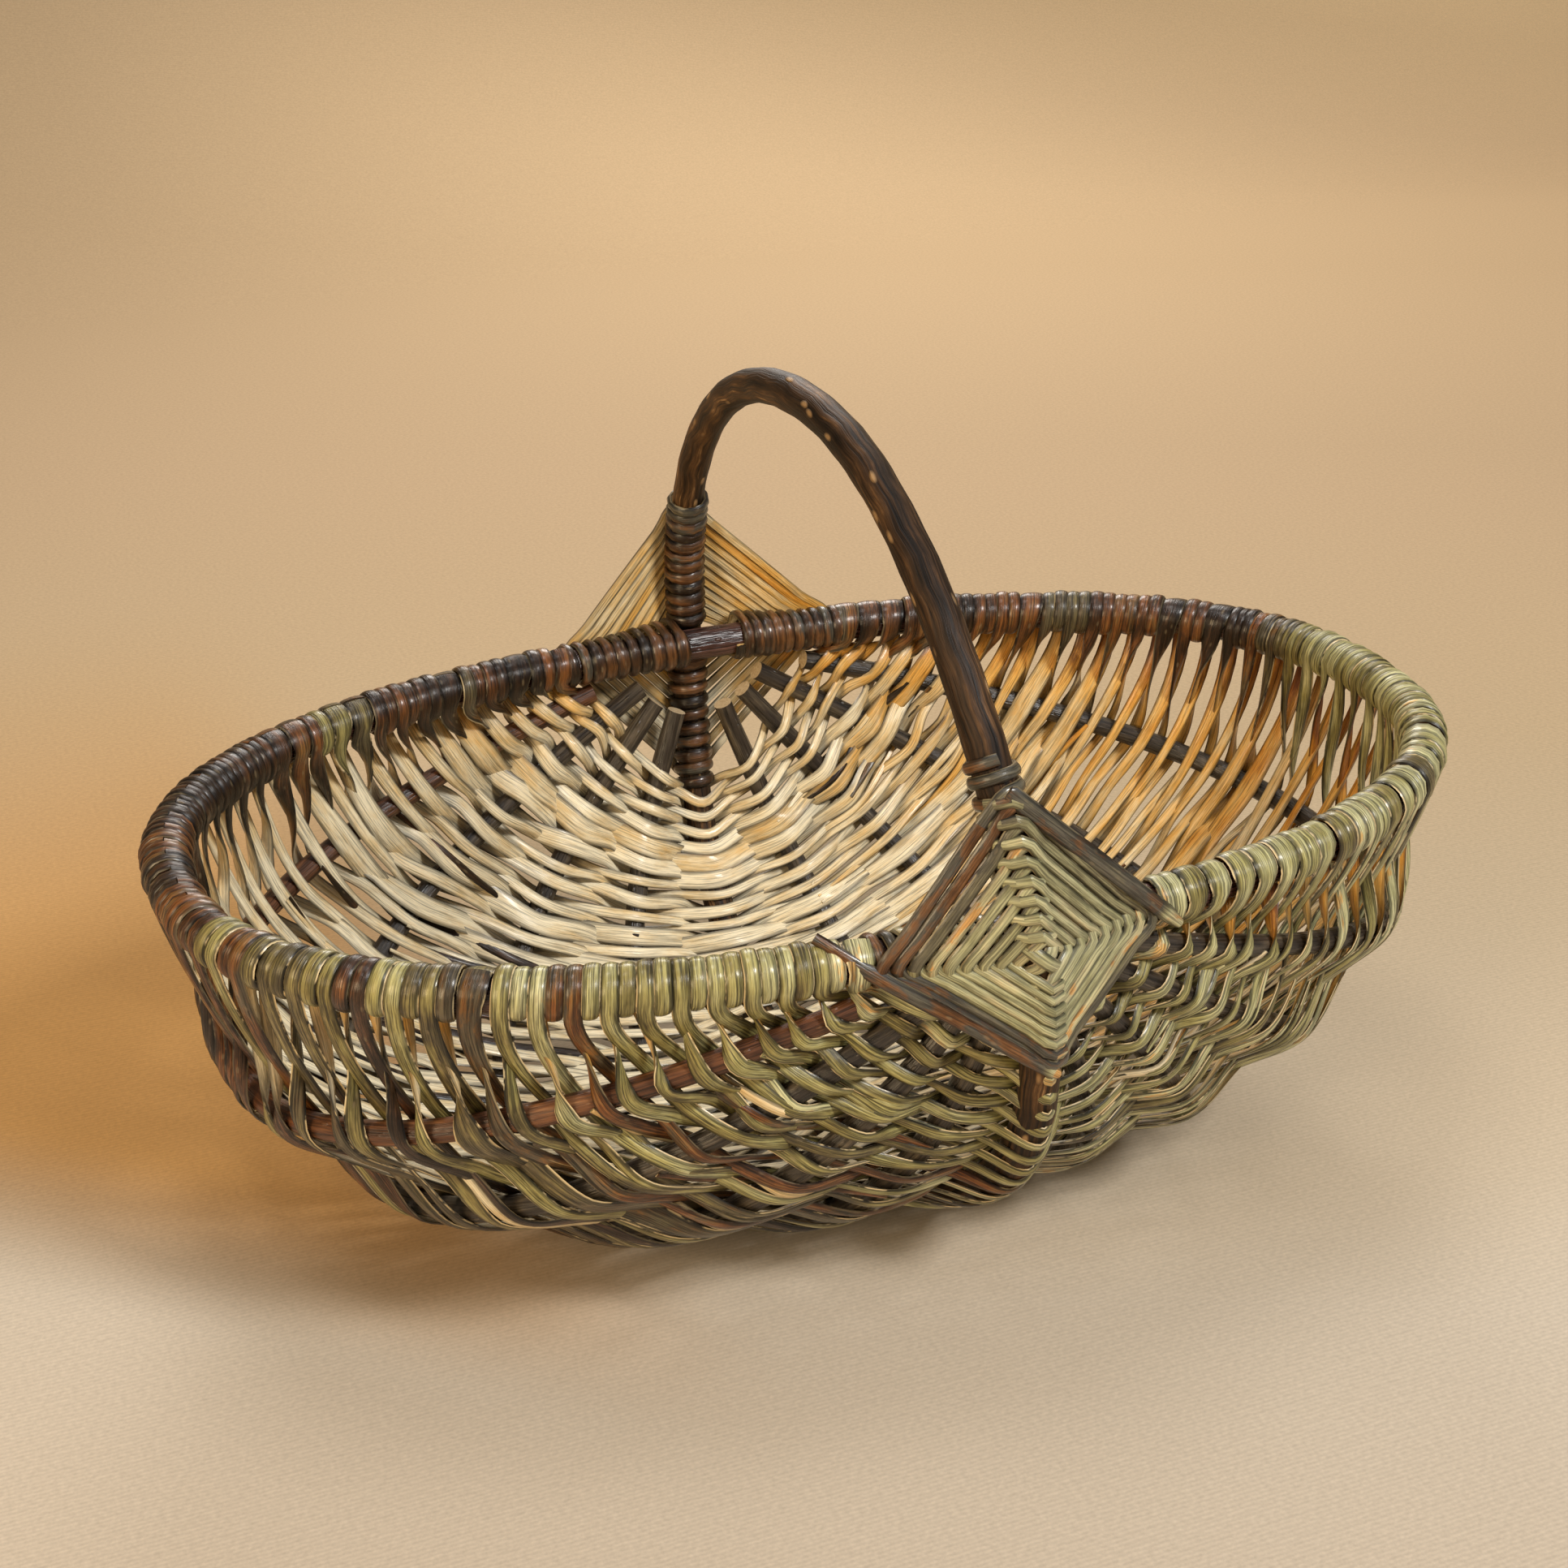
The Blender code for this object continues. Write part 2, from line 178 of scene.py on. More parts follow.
def sweepMesh(stops, profile, look, barkColumns=None, closed=False, step=0.003, most=8):
    rings = sampleStops(stops, step, most)
    place, normal = rings[:, :3], rings[:, 3:6]
    forward = np.gradient(place, axis=0)
    if closed:
        forward[0] = forward[-1] = place[1] - place[-2]
    forward = unit(forward)
    across = unit(np.cross(forward, normal))
    outward = np.cross(across, forward)
    lengths = np.concatenate([[0], np.cumsum(np.linalg.norm(np.diff(place, axis=0), axis=1))])
    shape = np.array(profile + profile[:1])
    spots = (place[:, None] + across[:, None] * (shape[None, :, :1] * rings[:, None, 6:7])
             + outward[:, None] * (shape[None, :, 1:] * rings[:, None, 7:8]))
    spots = bendFront(spots)
    columns = len(profile)
    roll = np.concatenate([[0], np.cumsum(np.linalg.norm(np.diff(shape, axis=0), axis=1))])
    tones = look(place)

    strip = bmesh.new()
    bmesh.ops.create_grid(strip, x_segments=columns, y_segments=len(place) - 1, size=1)
    strip.verts.ensure_lookup_table()
    strip.verts.index_update()
    uvLayer = strip.loops.layers.uv.new("follow")
    lookLayer = strip.verts.layers.float_color.new("look")
    for vert, spot in zip(strip.verts, spots.reshape(-1, 3)):
        ring, corner = divmod(vert.index, columns + 1)
        vert.co = spot
        vert[lookLayer] = (*tones[ring, :3], abs(2 * shape[corner, 0]))
    for face in strip.faces:
        column = min(loop.vert.index % (columns + 1) for loop in face.loops)
        woodSide = barkColumns is not None and column >= barkColumns
        for loop in face.loops:
            ring, corner = divmod(loop.vert.index, columns + 1)
            if barkColumns is None:
                turned = roll[corner] * rings[ring, 6]
            else:
                turned = shape[corner, 0] * rings[ring, 6] + (1.0 if woodSide else 0.0)
            loop[uvLayer].uv = (turned, lengths[ring])
    bmesh.ops.remove_doubles(strip, verts=strip.verts, dist=0.00001)
    if not closed:
        bmesh.ops.holes_fill(strip, edges=[edge for edge in strip.edges if edge.is_boundary], sides=0)
    bmesh.ops.recalc_face_normals(strip, faces=strip.faces)
    return strip


def addPiece(name, parts, materials, nodes, sharp=50):
    # joins the parts into one object at the origin that stands for these CAD nodes
    whole = bmesh.new()
    for part in parts:
        loose = bpy.data.meshes.new(name + "Part")
        part.to_mesh(loose)
        part.free()
        whole.from_mesh(loose)
        bpy.data.meshes.remove(loose)
    mesh = bpy.data.meshes.new(name)
    whole.to_mesh(mesh)
    whole.free()
    for material in materials:
        mesh.materials.append(material)
    mesh.shade_smooth()
    mesh.set_sharp_from_angle(angle=math.radians(sharp))
    piece = bpy.data.objects.new(name, mesh)
    bpy.context.scene.collection.objects.link(piece)
    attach(piece, "root")
    if nodes:
        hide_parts(*nodes)
    return piece


# colour by place: dark bark behind and to the left, olive in front and to the right

colourPlan = {
    "turns": (-180, -165, -150, -120, -60, -20, 12, 28, 45, 70, 110, 150, 172, 180),
    "tones": (0.26, 0.39, 0.58, 0.69, 0.77, 0.88, 0.80, 0.23, 0.19, 0.23, 0.18, 0.15, 0.16, 0.26),
    # painted shade low down on the left of the outside, and painted light low down on the right
    "paintedShadeLowLeft": 0.27,
    "paintedLightLowRight": 0.12,
    "spread": 0.27,
    "steadyRight": 0.40,
    "darkShare": 0.18,
    "darker": 0.28,
    "palest": 0.90,
    "tintSpread": 0.30,
    "rimTint": 0.30,
}


def placeTones(place):
    turn = np.degrees(np.arctan2(place[:, 1] / basket["halfWidth"], place[:, 0] / basket["halfLength"]))
    low = np.clip(1 - place[:, 2] / (basket["rimZ"] - 0.02), 0, 1)
    left = np.clip(0.5 - place[:, 0] / 0.15, 0, 1)
    # painted light and shade: the outside is darker low down on the left and paler low down on the right
    paintedLightByHeight = low * (colourPlan["paintedLightLowRight"] * (1 - left) - colourPlan["paintedShadeLowLeft"] * left)
    return np.interp(turn, colourPlan["turns"], colourPlan["tones"]) + paintedLightByHeight


def placeTints(place):
    # painted warm light: the wood is painted golden on the right, more so higher up; it is also browner where a
    # split bends over the rim
    right = np.clip((place[:, 0] - 0.02) / 0.2, 0, 1)
    high = np.clip(place[:, 2] / basket["rimZ"], 0, 1)
    nearRim = np.clip((place[:, 2] - basket["rimZ"] + 0.050) / 0.035, 0, 1) ** 2
    frontLeft = np.clip((-place[:, 1] - 0.08) / 0.07, 0, 1) * np.clip(-place[:, 0] / 0.2, 0, 1)
    return 0.06 + 0.62 * right * (0.40 + 0.60 * high) + 0.40 * frontLeft + colourPlan["rimTint"] * nearRim


def stripLook(toneShift, tintShift, seed, tone=None):
    # tone is one number for the whole strip, a function of place, or left to the plan above
    def look(place):
        if tone is None:
            steady = 1 - colourPlan["steadyRight"] * np.clip(place[:, 0] / 0.12, 0, 1)
            tones = (placeTones(place) + toneShift * steady).clip(0, colourPlan["palest"])
        else:
            tones = (tone(place) if callable(tone) else np.full(len(place), tone)) + toneShift
        tints = placeTints(place) + tintShift * np.clip(0.6 + place[:, 0] / 0.3, 0.35, 1)
        return np.stack([tones.clip(0, 1), tints.clip(0, 1), np.full(len(place), seed), np.ones(len(place))], 1)
    return look


def luckyLook(tone=None):
    shift = luck.gauss(0, colourPlan["spread"] / 2)
    if luck.random() < colourPlan["darkShare"]:
        shift -= colourPlan["darker"]
    return stripLook(shift, luck.gauss(0, colourPlan["tintSpread"] / 2), luck.random(), tone)


# materials

def addNode(tree, kind, **values):
    made = tree.nodes.new("ShaderNode" + kind)
    for name, value in values.items():
        if hasattr(made, name):
            setattr(made, name, value)
        else:
            made.inputs[name].default_value = value
    return made


def join(tree, source, target):
    tree.links.new(source, target)


def makeGroup(name, inputs, outputs):
    group = bpy.data.node_groups.new(name, "ShaderNodeTree")
    for label, kind, value in inputs:
        made = group.interface.new_socket(name=label, in_out="INPUT", socket_type="NodeSocket" + kind)
        if value is not None:
            made.default_value = value
    for label, kind in outputs:
        group.interface.new_socket(name=label, in_out="OUTPUT", socket_type="NodeSocket" + kind)
    return group, group.nodes.new("NodeGroupInput"), group.nodes.new("NodeGroupOutput")


def fillRamp(ramp, stops):
    while len(ramp.elements) > 1:
        ramp.elements.remove(ramp.elements[-1])
    ramp.elements[0].position = stops[0][0]
    ramp.elements[0].color = (*stops[0][1], 1)
    for position, colour in stops[1:]:
        ramp.elements.new(position).color = (*colour, 1)


def mathNode(tree, operation, first, second=None, third=None, clamp=False):
    made = addNode(tree, "Math", operation=operation, use_clamp=clamp)
    for socket, value in zip(made.inputs, (first, second, third)):
        if value is None:
            continue
        if hasattr(value, "is_linked"):
            join(tree, value, socket)
        else:
            socket.default_value = value
    return made.outputs[0]


def makeFibreGroup():
    # long fibres that follow a strip or rod, and the slow mottle of its bark
    group, given, out = makeGroup(
        "fibres",
        [("Follow", "Vector", None), ("Seed", "Float", 0.0), ("Fineness", "Float", 1500.0),
         ("Stretch", "Float", 22.0), ("Patch", "Float", 60.0), ("Speckle", "Float", 260.0)],
        [("Lines", "Float"), ("Mottle", "Float"), ("Specks", "Float")])
    split = addNode(group, "SeparateXYZ")
    join(group, given.outputs["Follow"], split.inputs[0])
    seedShift = addNode(group, "Math", operation="MULTIPLY")
    seedShift.inputs[1].default_value = 37.0
    join(group, given.outputs["Seed"], seedShift.inputs[0])
    fineX = addNode(group, "Math", operation="MULTIPLY")
    join(group, split.outputs["X"], fineX.inputs[0])
    join(group, given.outputs["Fineness"], fineX.inputs[1])
    slow = addNode(group, "Math", operation="DIVIDE")
    join(group, given.outputs["Fineness"], slow.inputs[0])
    join(group, given.outputs["Stretch"], slow.inputs[1])
    fineY = addNode(group, "Math", operation="MULTIPLY")
    join(group, split.outputs["Y"], fineY.inputs[0])
    join(group, slow.outputs[0], fineY.inputs[1])
    lineSpot = addNode(group, "CombineXYZ")
    join(group, fineX.outputs[0], lineSpot.inputs["X"])
    join(group, fineY.outputs[0], lineSpot.inputs["Y"])
    join(group, seedShift.outputs[0], lineSpot.inputs["Z"])
    lines = addNode(group, "TexNoise", Scale=1.0, Detail=3.0, Roughness=0.6)
    join(group, lineSpot.outputs[0], lines.inputs["Vector"])
    join(group, lines.outputs[0], out.inputs["Lines"])
    patchScale = addNode(group, "Math", operation="MULTIPLY")
    join(group, split.outputs["Y"], patchScale.inputs[0])
    join(group, given.outputs["Patch"], patchScale.inputs[1])
    patchAcross = addNode(group, "Math", operation="MULTIPLY")
    join(group, split.outputs["X"], patchAcross.inputs[0])
    patchAcross.inputs[1].default_value = 160.0
    patchSpot = addNode(group, "CombineXYZ")
    join(group, patchAcross.outputs[0], patchSpot.inputs["X"])
    join(group, patchScale.outputs[0], patchSpot.inputs["Y"])
    join(group, seedShift.outputs[0], patchSpot.inputs["Z"])
    mottle = addNode(group, "TexNoise", Scale=1.0, Detail=4.0, Roughness=0.65)
    join(group, patchSpot.outputs[0], mottle.inputs["Vector"])
    join(group, mottle.outputs[0], out.inputs["Mottle"])
    speckSpot = addNode(group, "CombineXYZ")
    speckX = addNode(group, "Math", operation="MULTIPLY")
    join(group, split.outputs["X"], speckX.inputs[0])
    join(group, given.outputs["Speckle"], speckX.inputs[1])
    speckY = addNode(group, "Math", operation="MULTIPLY")
    join(group, split.outputs["Y"], speckY.inputs[0])
    join(group, mathNode(group, "MULTIPLY", given.outputs["Speckle"], 0.42), speckY.inputs[1])
    join(group, speckX.outputs[0], speckSpot.inputs["X"])
    join(group, speckY.outputs[0], speckSpot.inputs["Y"])
    join(group, seedShift.outputs[0], speckSpot.inputs["Z"])
    cells = addNode(group, "TexVoronoi", Scale=1.0)
    join(group, speckSpot.outputs[0], cells.inputs["Vector"])
    specks = addNode(group, "MapRange")
    specks.inputs["From Min"].default_value = 0.10
    specks.inputs["From Max"].default_value = 0.20
    specks.inputs["To Min"].default_value = 1.0
    specks.inputs["To Max"].default_value = 0.0
    join(group, cells.outputs["Distance"], specks.inputs["Value"])
    join(group, specks.outputs[0], out.inputs["Specks"])
    return group


fibreGroup = makeFibreGroup()


def newMaterial(name):
    material = bpy.data.materials.new(name)
    material.use_nodes = True
    tree = material.node_tree
    return material, tree, tree.nodes["Principled BSDF"]


def mixColour(tree, factor, first, second, blend="MIX"):
    mix = addNode(tree, "Mix", data_type="RGBA", blend_type=blend)
    for socket, value in ((mix.inputs[0], factor), (mix.inputs[6], first), (mix.inputs[7], second)):
        if hasattr(value, "is_linked"):
            join(tree, value, socket)
        else:
            socket.default_value = value if isinstance(value, float) else (*value, 1)
    return mix.outputs[2]


def mapNode(tree, value, low, high, toLow, toHigh, smooth=False):
    made = addNode(tree, "MapRange", interpolation_type="SMOOTHSTEP" if smooth else "LINEAR")
    made.inputs["From Min"].default_value = low
    made.inputs["From Max"].default_value = high
    made.inputs["To Min"].default_value = toLow
    made.inputs["To Max"].default_value = toHigh
    join(tree, value, made.inputs["Value"])
    return made.outputs[0]


def useFibres(tree, seed, fineness, stretch, patch, speckle):
    follow = addNode(tree, "UVMap", uv_map="follow")
    fibres = addNode(tree, "Group", node_tree=fibreGroup)
    join(tree, follow.outputs[0], fibres.inputs["Follow"])
    join(tree, seed, fibres.inputs["Seed"])
    fibres.inputs["Fineness"].default_value = fineness
    fibres.inputs["Stretch"].default_value = stretch
    fibres.inputs["Patch"].default_value = patch
    fibres.inputs["Speckle"].default_value = speckle
    return follow, fibres


splitFinish = {
    "bark": [(0.0, (0.022, 0.010, 0.004)), (0.10, (0.064, 0.025, 0.008)), (0.20, (0.170, 0.057, 0.011)),
             (0.26, (0.185, 0.086, 0.021)), (0.33, (0.086, 0.058, 0.029)), (0.42, (0.095, 0.076, 0.038)),
             (0.49, (0.140, 0.106, 0.040)),
             (0.58, (0.228, 0.188, 0.060)), (0.70, (0.324, 0.288, 0.106)), (0.84, (0.450, 0.426, 0.212)),
             (0.96, (0.545, 0.508, 0.280)), (1.0, (0.640, 0.380, 0.120))],
    "wood": [(0.0, (0.92, 0.81, 0.57)), (0.25, (0.80, 0.60, 0.31)), (0.5, (0.80, 0.46, 0.12)),
             (0.75, (0.70, 0.31, 0.04)), (1.0, (0.34, 0.11, 0.02))],
    "wornEdge": (0.84, 0.66, 0.36),
    "fineness": 1700.0,
    "barkLines": (0.30, 1.50),
    "woodLines": (0.50, 1.12),
    "roughness": 0.36,
    "coat": 0.64,
    "coatRoughness": 0.20,
    "wornAmount": 0.9,
}
# the lashings are wound of smoother, rounder splits in a greyer green
lashingFinish = {
    **splitFinish,
    "bark": [(0.0, (0.018, 0.009, 0.004)), (0.10, (0.052, 0.022, 0.008)), (0.20, (0.150, 0.058, 0.015)),
             (0.26, (0.180, 0.080, 0.028)), (0.33, (0.068, 0.060, 0.046)), (0.42, (0.105, 0.092, 0.060)),
             (0.50, (0.150, 0.128, 0.070)), (0.60, (0.225, 0.200, 0.098)), (0.72, (0.350, 0.332, 0.168)),
             (0.84, (0.475, 0.455, 0.250)), (0.96, (0.580, 0.500, 0.270)), (1.0, (0.640, 0.340, 0.100))],
    "barkLines": (0.52, 1.26),
    "coat": 0.90,
    "wornAmount": 0.35,
}


def makeSplitMaterial(name, finish):
    material, tree, shader = newMaterial(name)
    looks = addNode(tree, "Attribute", attribute_name="look")
    parts = addNode(tree, "SeparateColor")
    join(tree, looks.outputs["Color"], parts.inputs[0])
    follow, fibres = useFibres(tree, parts.outputs[2], finish["fineness"], 34.0, 45.0, 260.0)
    spot = addNode(tree, "SeparateXYZ")
    join(tree, follow.outputs[0], spot.inputs[0])
    woodSide = mathNode(tree, "GREATER_THAN", spot.outputs["X"], 0.5)
    aside = looks.outputs["Alpha"]

    patches = mathNode(tree, "MULTIPLY_ADD", fibres.outputs["Mottle"], 0.76, -0.38)
    tone = mathNode(tree, "ADD", parts.outputs[0], patches, clamp=True)
    bark = addNode(tree, "ValToRGB")
    fillRamp(bark.color_ramp, finish["bark"])
    join(tree, tone, bark.inputs[0])
    lineShade = mapNode(tree, fibres.outputs["Lines"], 0.39, 0.61, *finish["barkLines"])
    barkLined = mixColour(tree, 1.0, bark.outputs[0], lineShade, "MULTIPLY")
    speckAmount = mathNode(tree, "MULTIPLY", fibres.outputs["Specks"], 0.30)
    barkSpecked = mixColour(tree, speckAmount, barkLined, (0.36, 0.27, 0.15))
    # painted shade: the bark is darkened towards both edges of every strip, where strips meet and tuck under one
    # another
    edge = mapNode(tree, aside, 0.46, 0.96, 1.0, 0.10)
    barkWithPaintedShade = mixColour(tree, 1.0, barkSpecked, edge, "MULTIPLY")
    # here and there the bark has split away from the very edge
    wornPlaces = mathNode(tree, "MULTIPLY", mapNode(tree, fibres.outputs["Mottle"], 0.47, 0.53, 0.0, 1.0),
                          mapNode(tree, parts.outputs[0], 0.22, 0.46, 0.15, 1.0))
    worn = mathNode(tree, "MULTIPLY", mapNode(tree, aside, 0.84, 0.94, 0.0, finish["wornAmount"]), wornPlaces)
    barkDone = mixColour(tree, worn, barkWithPaintedShade, finish["wornEdge"])

    grainTint = mathNode(tree, "MULTIPLY_ADD", fibres.outputs["Mottle"], 1.1, -0.55)
    tint = mathNode(tree, "ADD", parts.outputs[1], grainTint, clamp=True)
    wood = addNode(tree, "ValToRGB")
    fillRamp(wood.color_ramp, finish["wood"])
    join(tree, tint, wood.inputs[0])
    grain = mapNode(tree, fibres.outputs["Lines"], 0.34, 0.56, *finish["woodLines"])
    woodLined = mixColour(tree, 1.0, wood.outputs[0], grain, "MULTIPLY")
    # painted shade: the wood side too is darkened towards both edges of every strip
    woodEdgePaintedShade = mapNode(tree, aside, 0.60, 0.98, 1.0, 0.20)
    woodDone = mixColour(tree, 1.0, woodLined, woodEdgePaintedShade, "MULTIPLY")

    colour = mixColour(tree, woodSide, barkDone, woodDone)
    join(tree, colour, shader.inputs["Base Color"])
    rough = mathNode(tree, "MULTIPLY_ADD", fibres.outputs["Mottle"], 0.30, finish["roughness"] - 0.15)
    join(tree, rough, shader.inputs["Roughness"])
    # a polish in streaks and patches along the strip
    patchShine = mapNode(tree, fibres.outputs["Mottle"], 0.42, 0.56, 0.2 * finish["coat"], finish["coat"])
    lineShine = mapNode(tree, fibres.outputs["Lines"], 0.42, 0.56, 0.1, 1.0)
    join(tree, mathNode(tree, "MULTIPLY", patchShine, lineShine), shader.inputs["Coat Weight"])
    shader.inputs["Coat Roughness"].default_value = finish["coatRoughness"]
    shader.inputs["Specular IOR Level"].default_value = 0.45
    heights = mathNode(tree, "MULTIPLY_ADD", fibres.outputs["Mottle"], 0.7, fibres.outputs["Lines"])
    bump = addNode(tree, "Bump", Strength=0.7, Distance=0.0007)
    join(tree, heights, bump.inputs["Height"])
    join(tree, bump.outputs[0], shader.inputs["Normal"])
    return material


def makeRodMaterial(name, colours, lineDepth, speckColour, speckAmount, roughness,
                    fineness=1100.0, speckle=260.0, gloss=0.5):
    material, tree, shader = newMaterial(name)
    looks = addNode(tree, "Attribute", attribute_name="look")
    parts = addNode(tree, "SeparateColor")
    join(tree, looks.outputs["Color"], parts.inputs[0])
    follow, fibres = useFibres(tree, parts.outputs[2], fineness, 34.0, 28.0, speckle)
    tone = addNode(tree, "ValToRGB")
    fillRamp(tone.color_ramp, colours)
    join(tree, fibres.outputs["Mottle"], tone.inputs[0])
    shade = mapNode(tree, fibres.outputs["Lines"], 0.36, 0.60, 1 - lineDepth, 1 + lineDepth / 2)
    lined = mixColour(tree, 1.0, tone.outputs[0], shade, "MULTIPLY")
    specks = mathNode(tree, "MULTIPLY", fibres.outputs["Specks"], speckAmount)
    # scuffs where the bark is rubbed through, only in a few places
    scuffs = mathNode(tree, "MULTIPLY", mapNode(tree, fibres.outputs["Mottle"], 0.62, 0.70, 0.0, 0.6),
                      mapNode(tree, fibres.outputs["Lines"], 0.52, 0.60, 0.0, 1.0))
    marks = mathNode(tree, "MAXIMUM", specks, scuffs)
    join(tree, mixColour(tree, marks, lined, speckColour), shader.inputs["Base Color"])
    rough = mathNode(tree, "MULTIPLY_ADD", fibres.outputs["Lines"], 0.25, roughness - 0.12)
    join(tree, rough, shader.inputs["Roughness"])
    shader.inputs["Specular IOR Level"].default_value = gloss
    heights = mathNode(tree, "MULTIPLY_ADD", fibres.outputs["Specks"], 0.6, fibres.outputs["Lines"])
    bump = addNode(tree, "Bump", Strength=0.75, Distance=0.0009)
    join(tree, heights, bump.inputs["Height"])
    join(tree, bump.outputs[0], shader.inputs["Normal"])
    return material


def makeCutMaterial():
    material, tree, shader = newMaterial("cutWood")
    spot = addNode(tree, "TexCoord")
    rings = addNode(tree, "TexNoise", Scale=900.0, Detail=3.0)
    join(tree, spot.outputs["Object"], rings.inputs["Vector"])
    tone = addNode(tree, "ValToRGB")
    fillRamp(tone.color_ramp, [(0.3, (0.52, 0.36, 0.19)), (0.7, (0.74, 0.58, 0.36))])
    join(tree, rings.outputs[0], tone.inputs[0])
    join(tree, tone.outputs[0], shader.inputs["Base Color"])
    shader.inputs["Roughness"].default_value = 0.6
    return material


splitWillow = makeSplitMaterial("splitWillow", splitFinish)
lashingWillow = makeSplitMaterial("lashingWillow", lashingFinish)
handleBark = makeRodMaterial(
    "handleBark", [(0.3, (0.013, 0.007, 0.003)), (0.5, (0.042, 0.021, 0.009)), (0.7, (0.130, 0.064, 0.024))],
    0.85, (0.48, 0.29, 0.13), 0.70, 0.52, fineness=720.0, speckle=130.0, gloss=0.24)
ribBark = makeRodMaterial(
    "ribBark", [(0.3, (0.018, 0.013, 0.010)), (0.5, (0.042, 0.032, 0.024)), (0.7, (0.130, 0.100, 0.065))],
    0.6, (0.20, 0.16, 0.10), 0.2, 0.30)
redBark = makeRodMaterial(
    "redBark", [(0.3, (0.050, 0.018, 0.008)), (0.5, (0.120, 0.045, 0.018)), (0.7, (0.240, 0.100, 0.036))],
    0.7, (0.34, 0.18, 0.08), 0.2, 0.34)
# painted shade: the rim rod's bark is near-black, so that the gaps between the wraps read as deep shade
rimBarkPaintedShade = makeRodMaterial(
    "rimBarkPaintedShade", [(0.3, (0.020, 0.008, 0.007)), (0.5, (0.050, 0.020, 0.015)), (0.7, (0.110, 0.048, 0.036))],
    0.8, (0.20, 0.11, 0.08), 0.2, 0.26, fineness=800.0)
cutWood = makeCutMaterial()
print("materials made")


# weaving

weave = {
    "rows": 48,
    "rowsPerNode": 6,
    # where the first row crosses each member, from the crossing in front (-1) and behind (1)
    "firstRow": {
        -1: {"rim": 0.0635, "1": 0.0560, "2": 0.0460, "3": 0.0430, "4": 0.0430, "keel": 0.0490},
        1: {"rim": 0.0710, "1": 0.0580, "2": 0.0530, "3": 0.0580, "4": 0.0660, "keel": 0.0810},
    },
    "width": 0.0066,
    "thickness": 0.0021,
    # width, thickness and overrun of the wraps where a split turns once, twice or three times round the rim
    "wraps": {1: (0.0112, 0.0022, 0.0), 2: (0.0066, 0.0026, 0.30), 3: (0.0046, 0.0025, 0.39)},
    "wrapStep": 30,
    "wrapRise": 0.0010,
    "narrow": {"keel": 0.88, "4": 0.88, "3": 0.94, "2": 1.0, "1": 1.0},
    "leftWider": 0.12,
    "sideways": {"keel": 0.0005, "4": 0.0008, "3": 0.0015, "2": 0.0026, "1": 0.0032},
    "bulge": 0.0008,
    "oftenTwice": 0.5,
    "fillers": 36,
    "turnedOver": 0.4,
}
weaveOrder = (["rimLeft"] + ["ribLeft" + str(number) for number in (1, 2, 3, 4)] + ["keel"]
              + ["ribRight" + str(number) for number in (4, 3, 2, 1)] + ["rimRight"])
wander = {}


def memberKind(name):
    if name == "keel":
        return "keel"
    return "rim" if name.startswith("rim") else name[-1]


def rowDistance(name, row, half):
    first = weave["firstRow"][half][memberKind(name)]
    lastShare = 0.30 * weave["wraps"][1][0] if name.startswith("rim") else 0
    rowsIn = weave["rows"] - (1 if name.startswith("rim") else 0.5)
    return first + (paths[name]["half"] - first - lastShare) / rowsIn * row


def wobble(key, amount):
    if key not in wander:
        wander[key] = luck.uniform(-1, 1)
    return wander[key] * amount


def rimTurn(name, half, row, outer, rounds, share):
    # the split comes up one side of the rim at this row and goes down the other at the next;
    # share is the part of the turn to make, as two numbers from 0 to 1
    sweep = 236 + 360 * (rounds - 1)
    steps = round(sweep / weave["wrapStep"])
    wide, thick, early = weave["wraps"][rounds]
    wide *= luck.uniform(0.92, 1.06)
    begin = rowDistance(name, row, half)
    pitch = rowDistance(name, row + 1, half) - begin
    rises = [luck.uniform(-0.1, 1) * weave["wrapRise"] for _ in range(rounds + 1)]
    stops = []
    for step in range(round(steps * share[0]), round(steps * share[1]) + 1):
        turned = sweep * step / steps
        bigger = rises[int(turned // 360)]
        onward = pitch * ((1 + 2 * early) * turned / sweep - early)
        point, tangent = seat(paths[name], begin + onward, half)
        outward = tangent.cross(up).normalized()
        if outward.dot(Vector((point.x, point.y, 0))) < 0:
            outward = -outward
        angle = math.radians(turned - 28 if outer else 208 - turned)
        radial = outward * math.cos(angle) + up * math.sin(angle)
        level = basket["hoopRadius"] + thick * 0.36 + bigger + luck.uniform(0, 0.0002)
        fromEnd = min(step, steps - step)
        width = wide if fromEnd > 1 else (wide + weave["width"]) / 2
        stops.append((point + radial * level, radial, width * luck.uniform(0.97, 1.03), thick))
    return stops


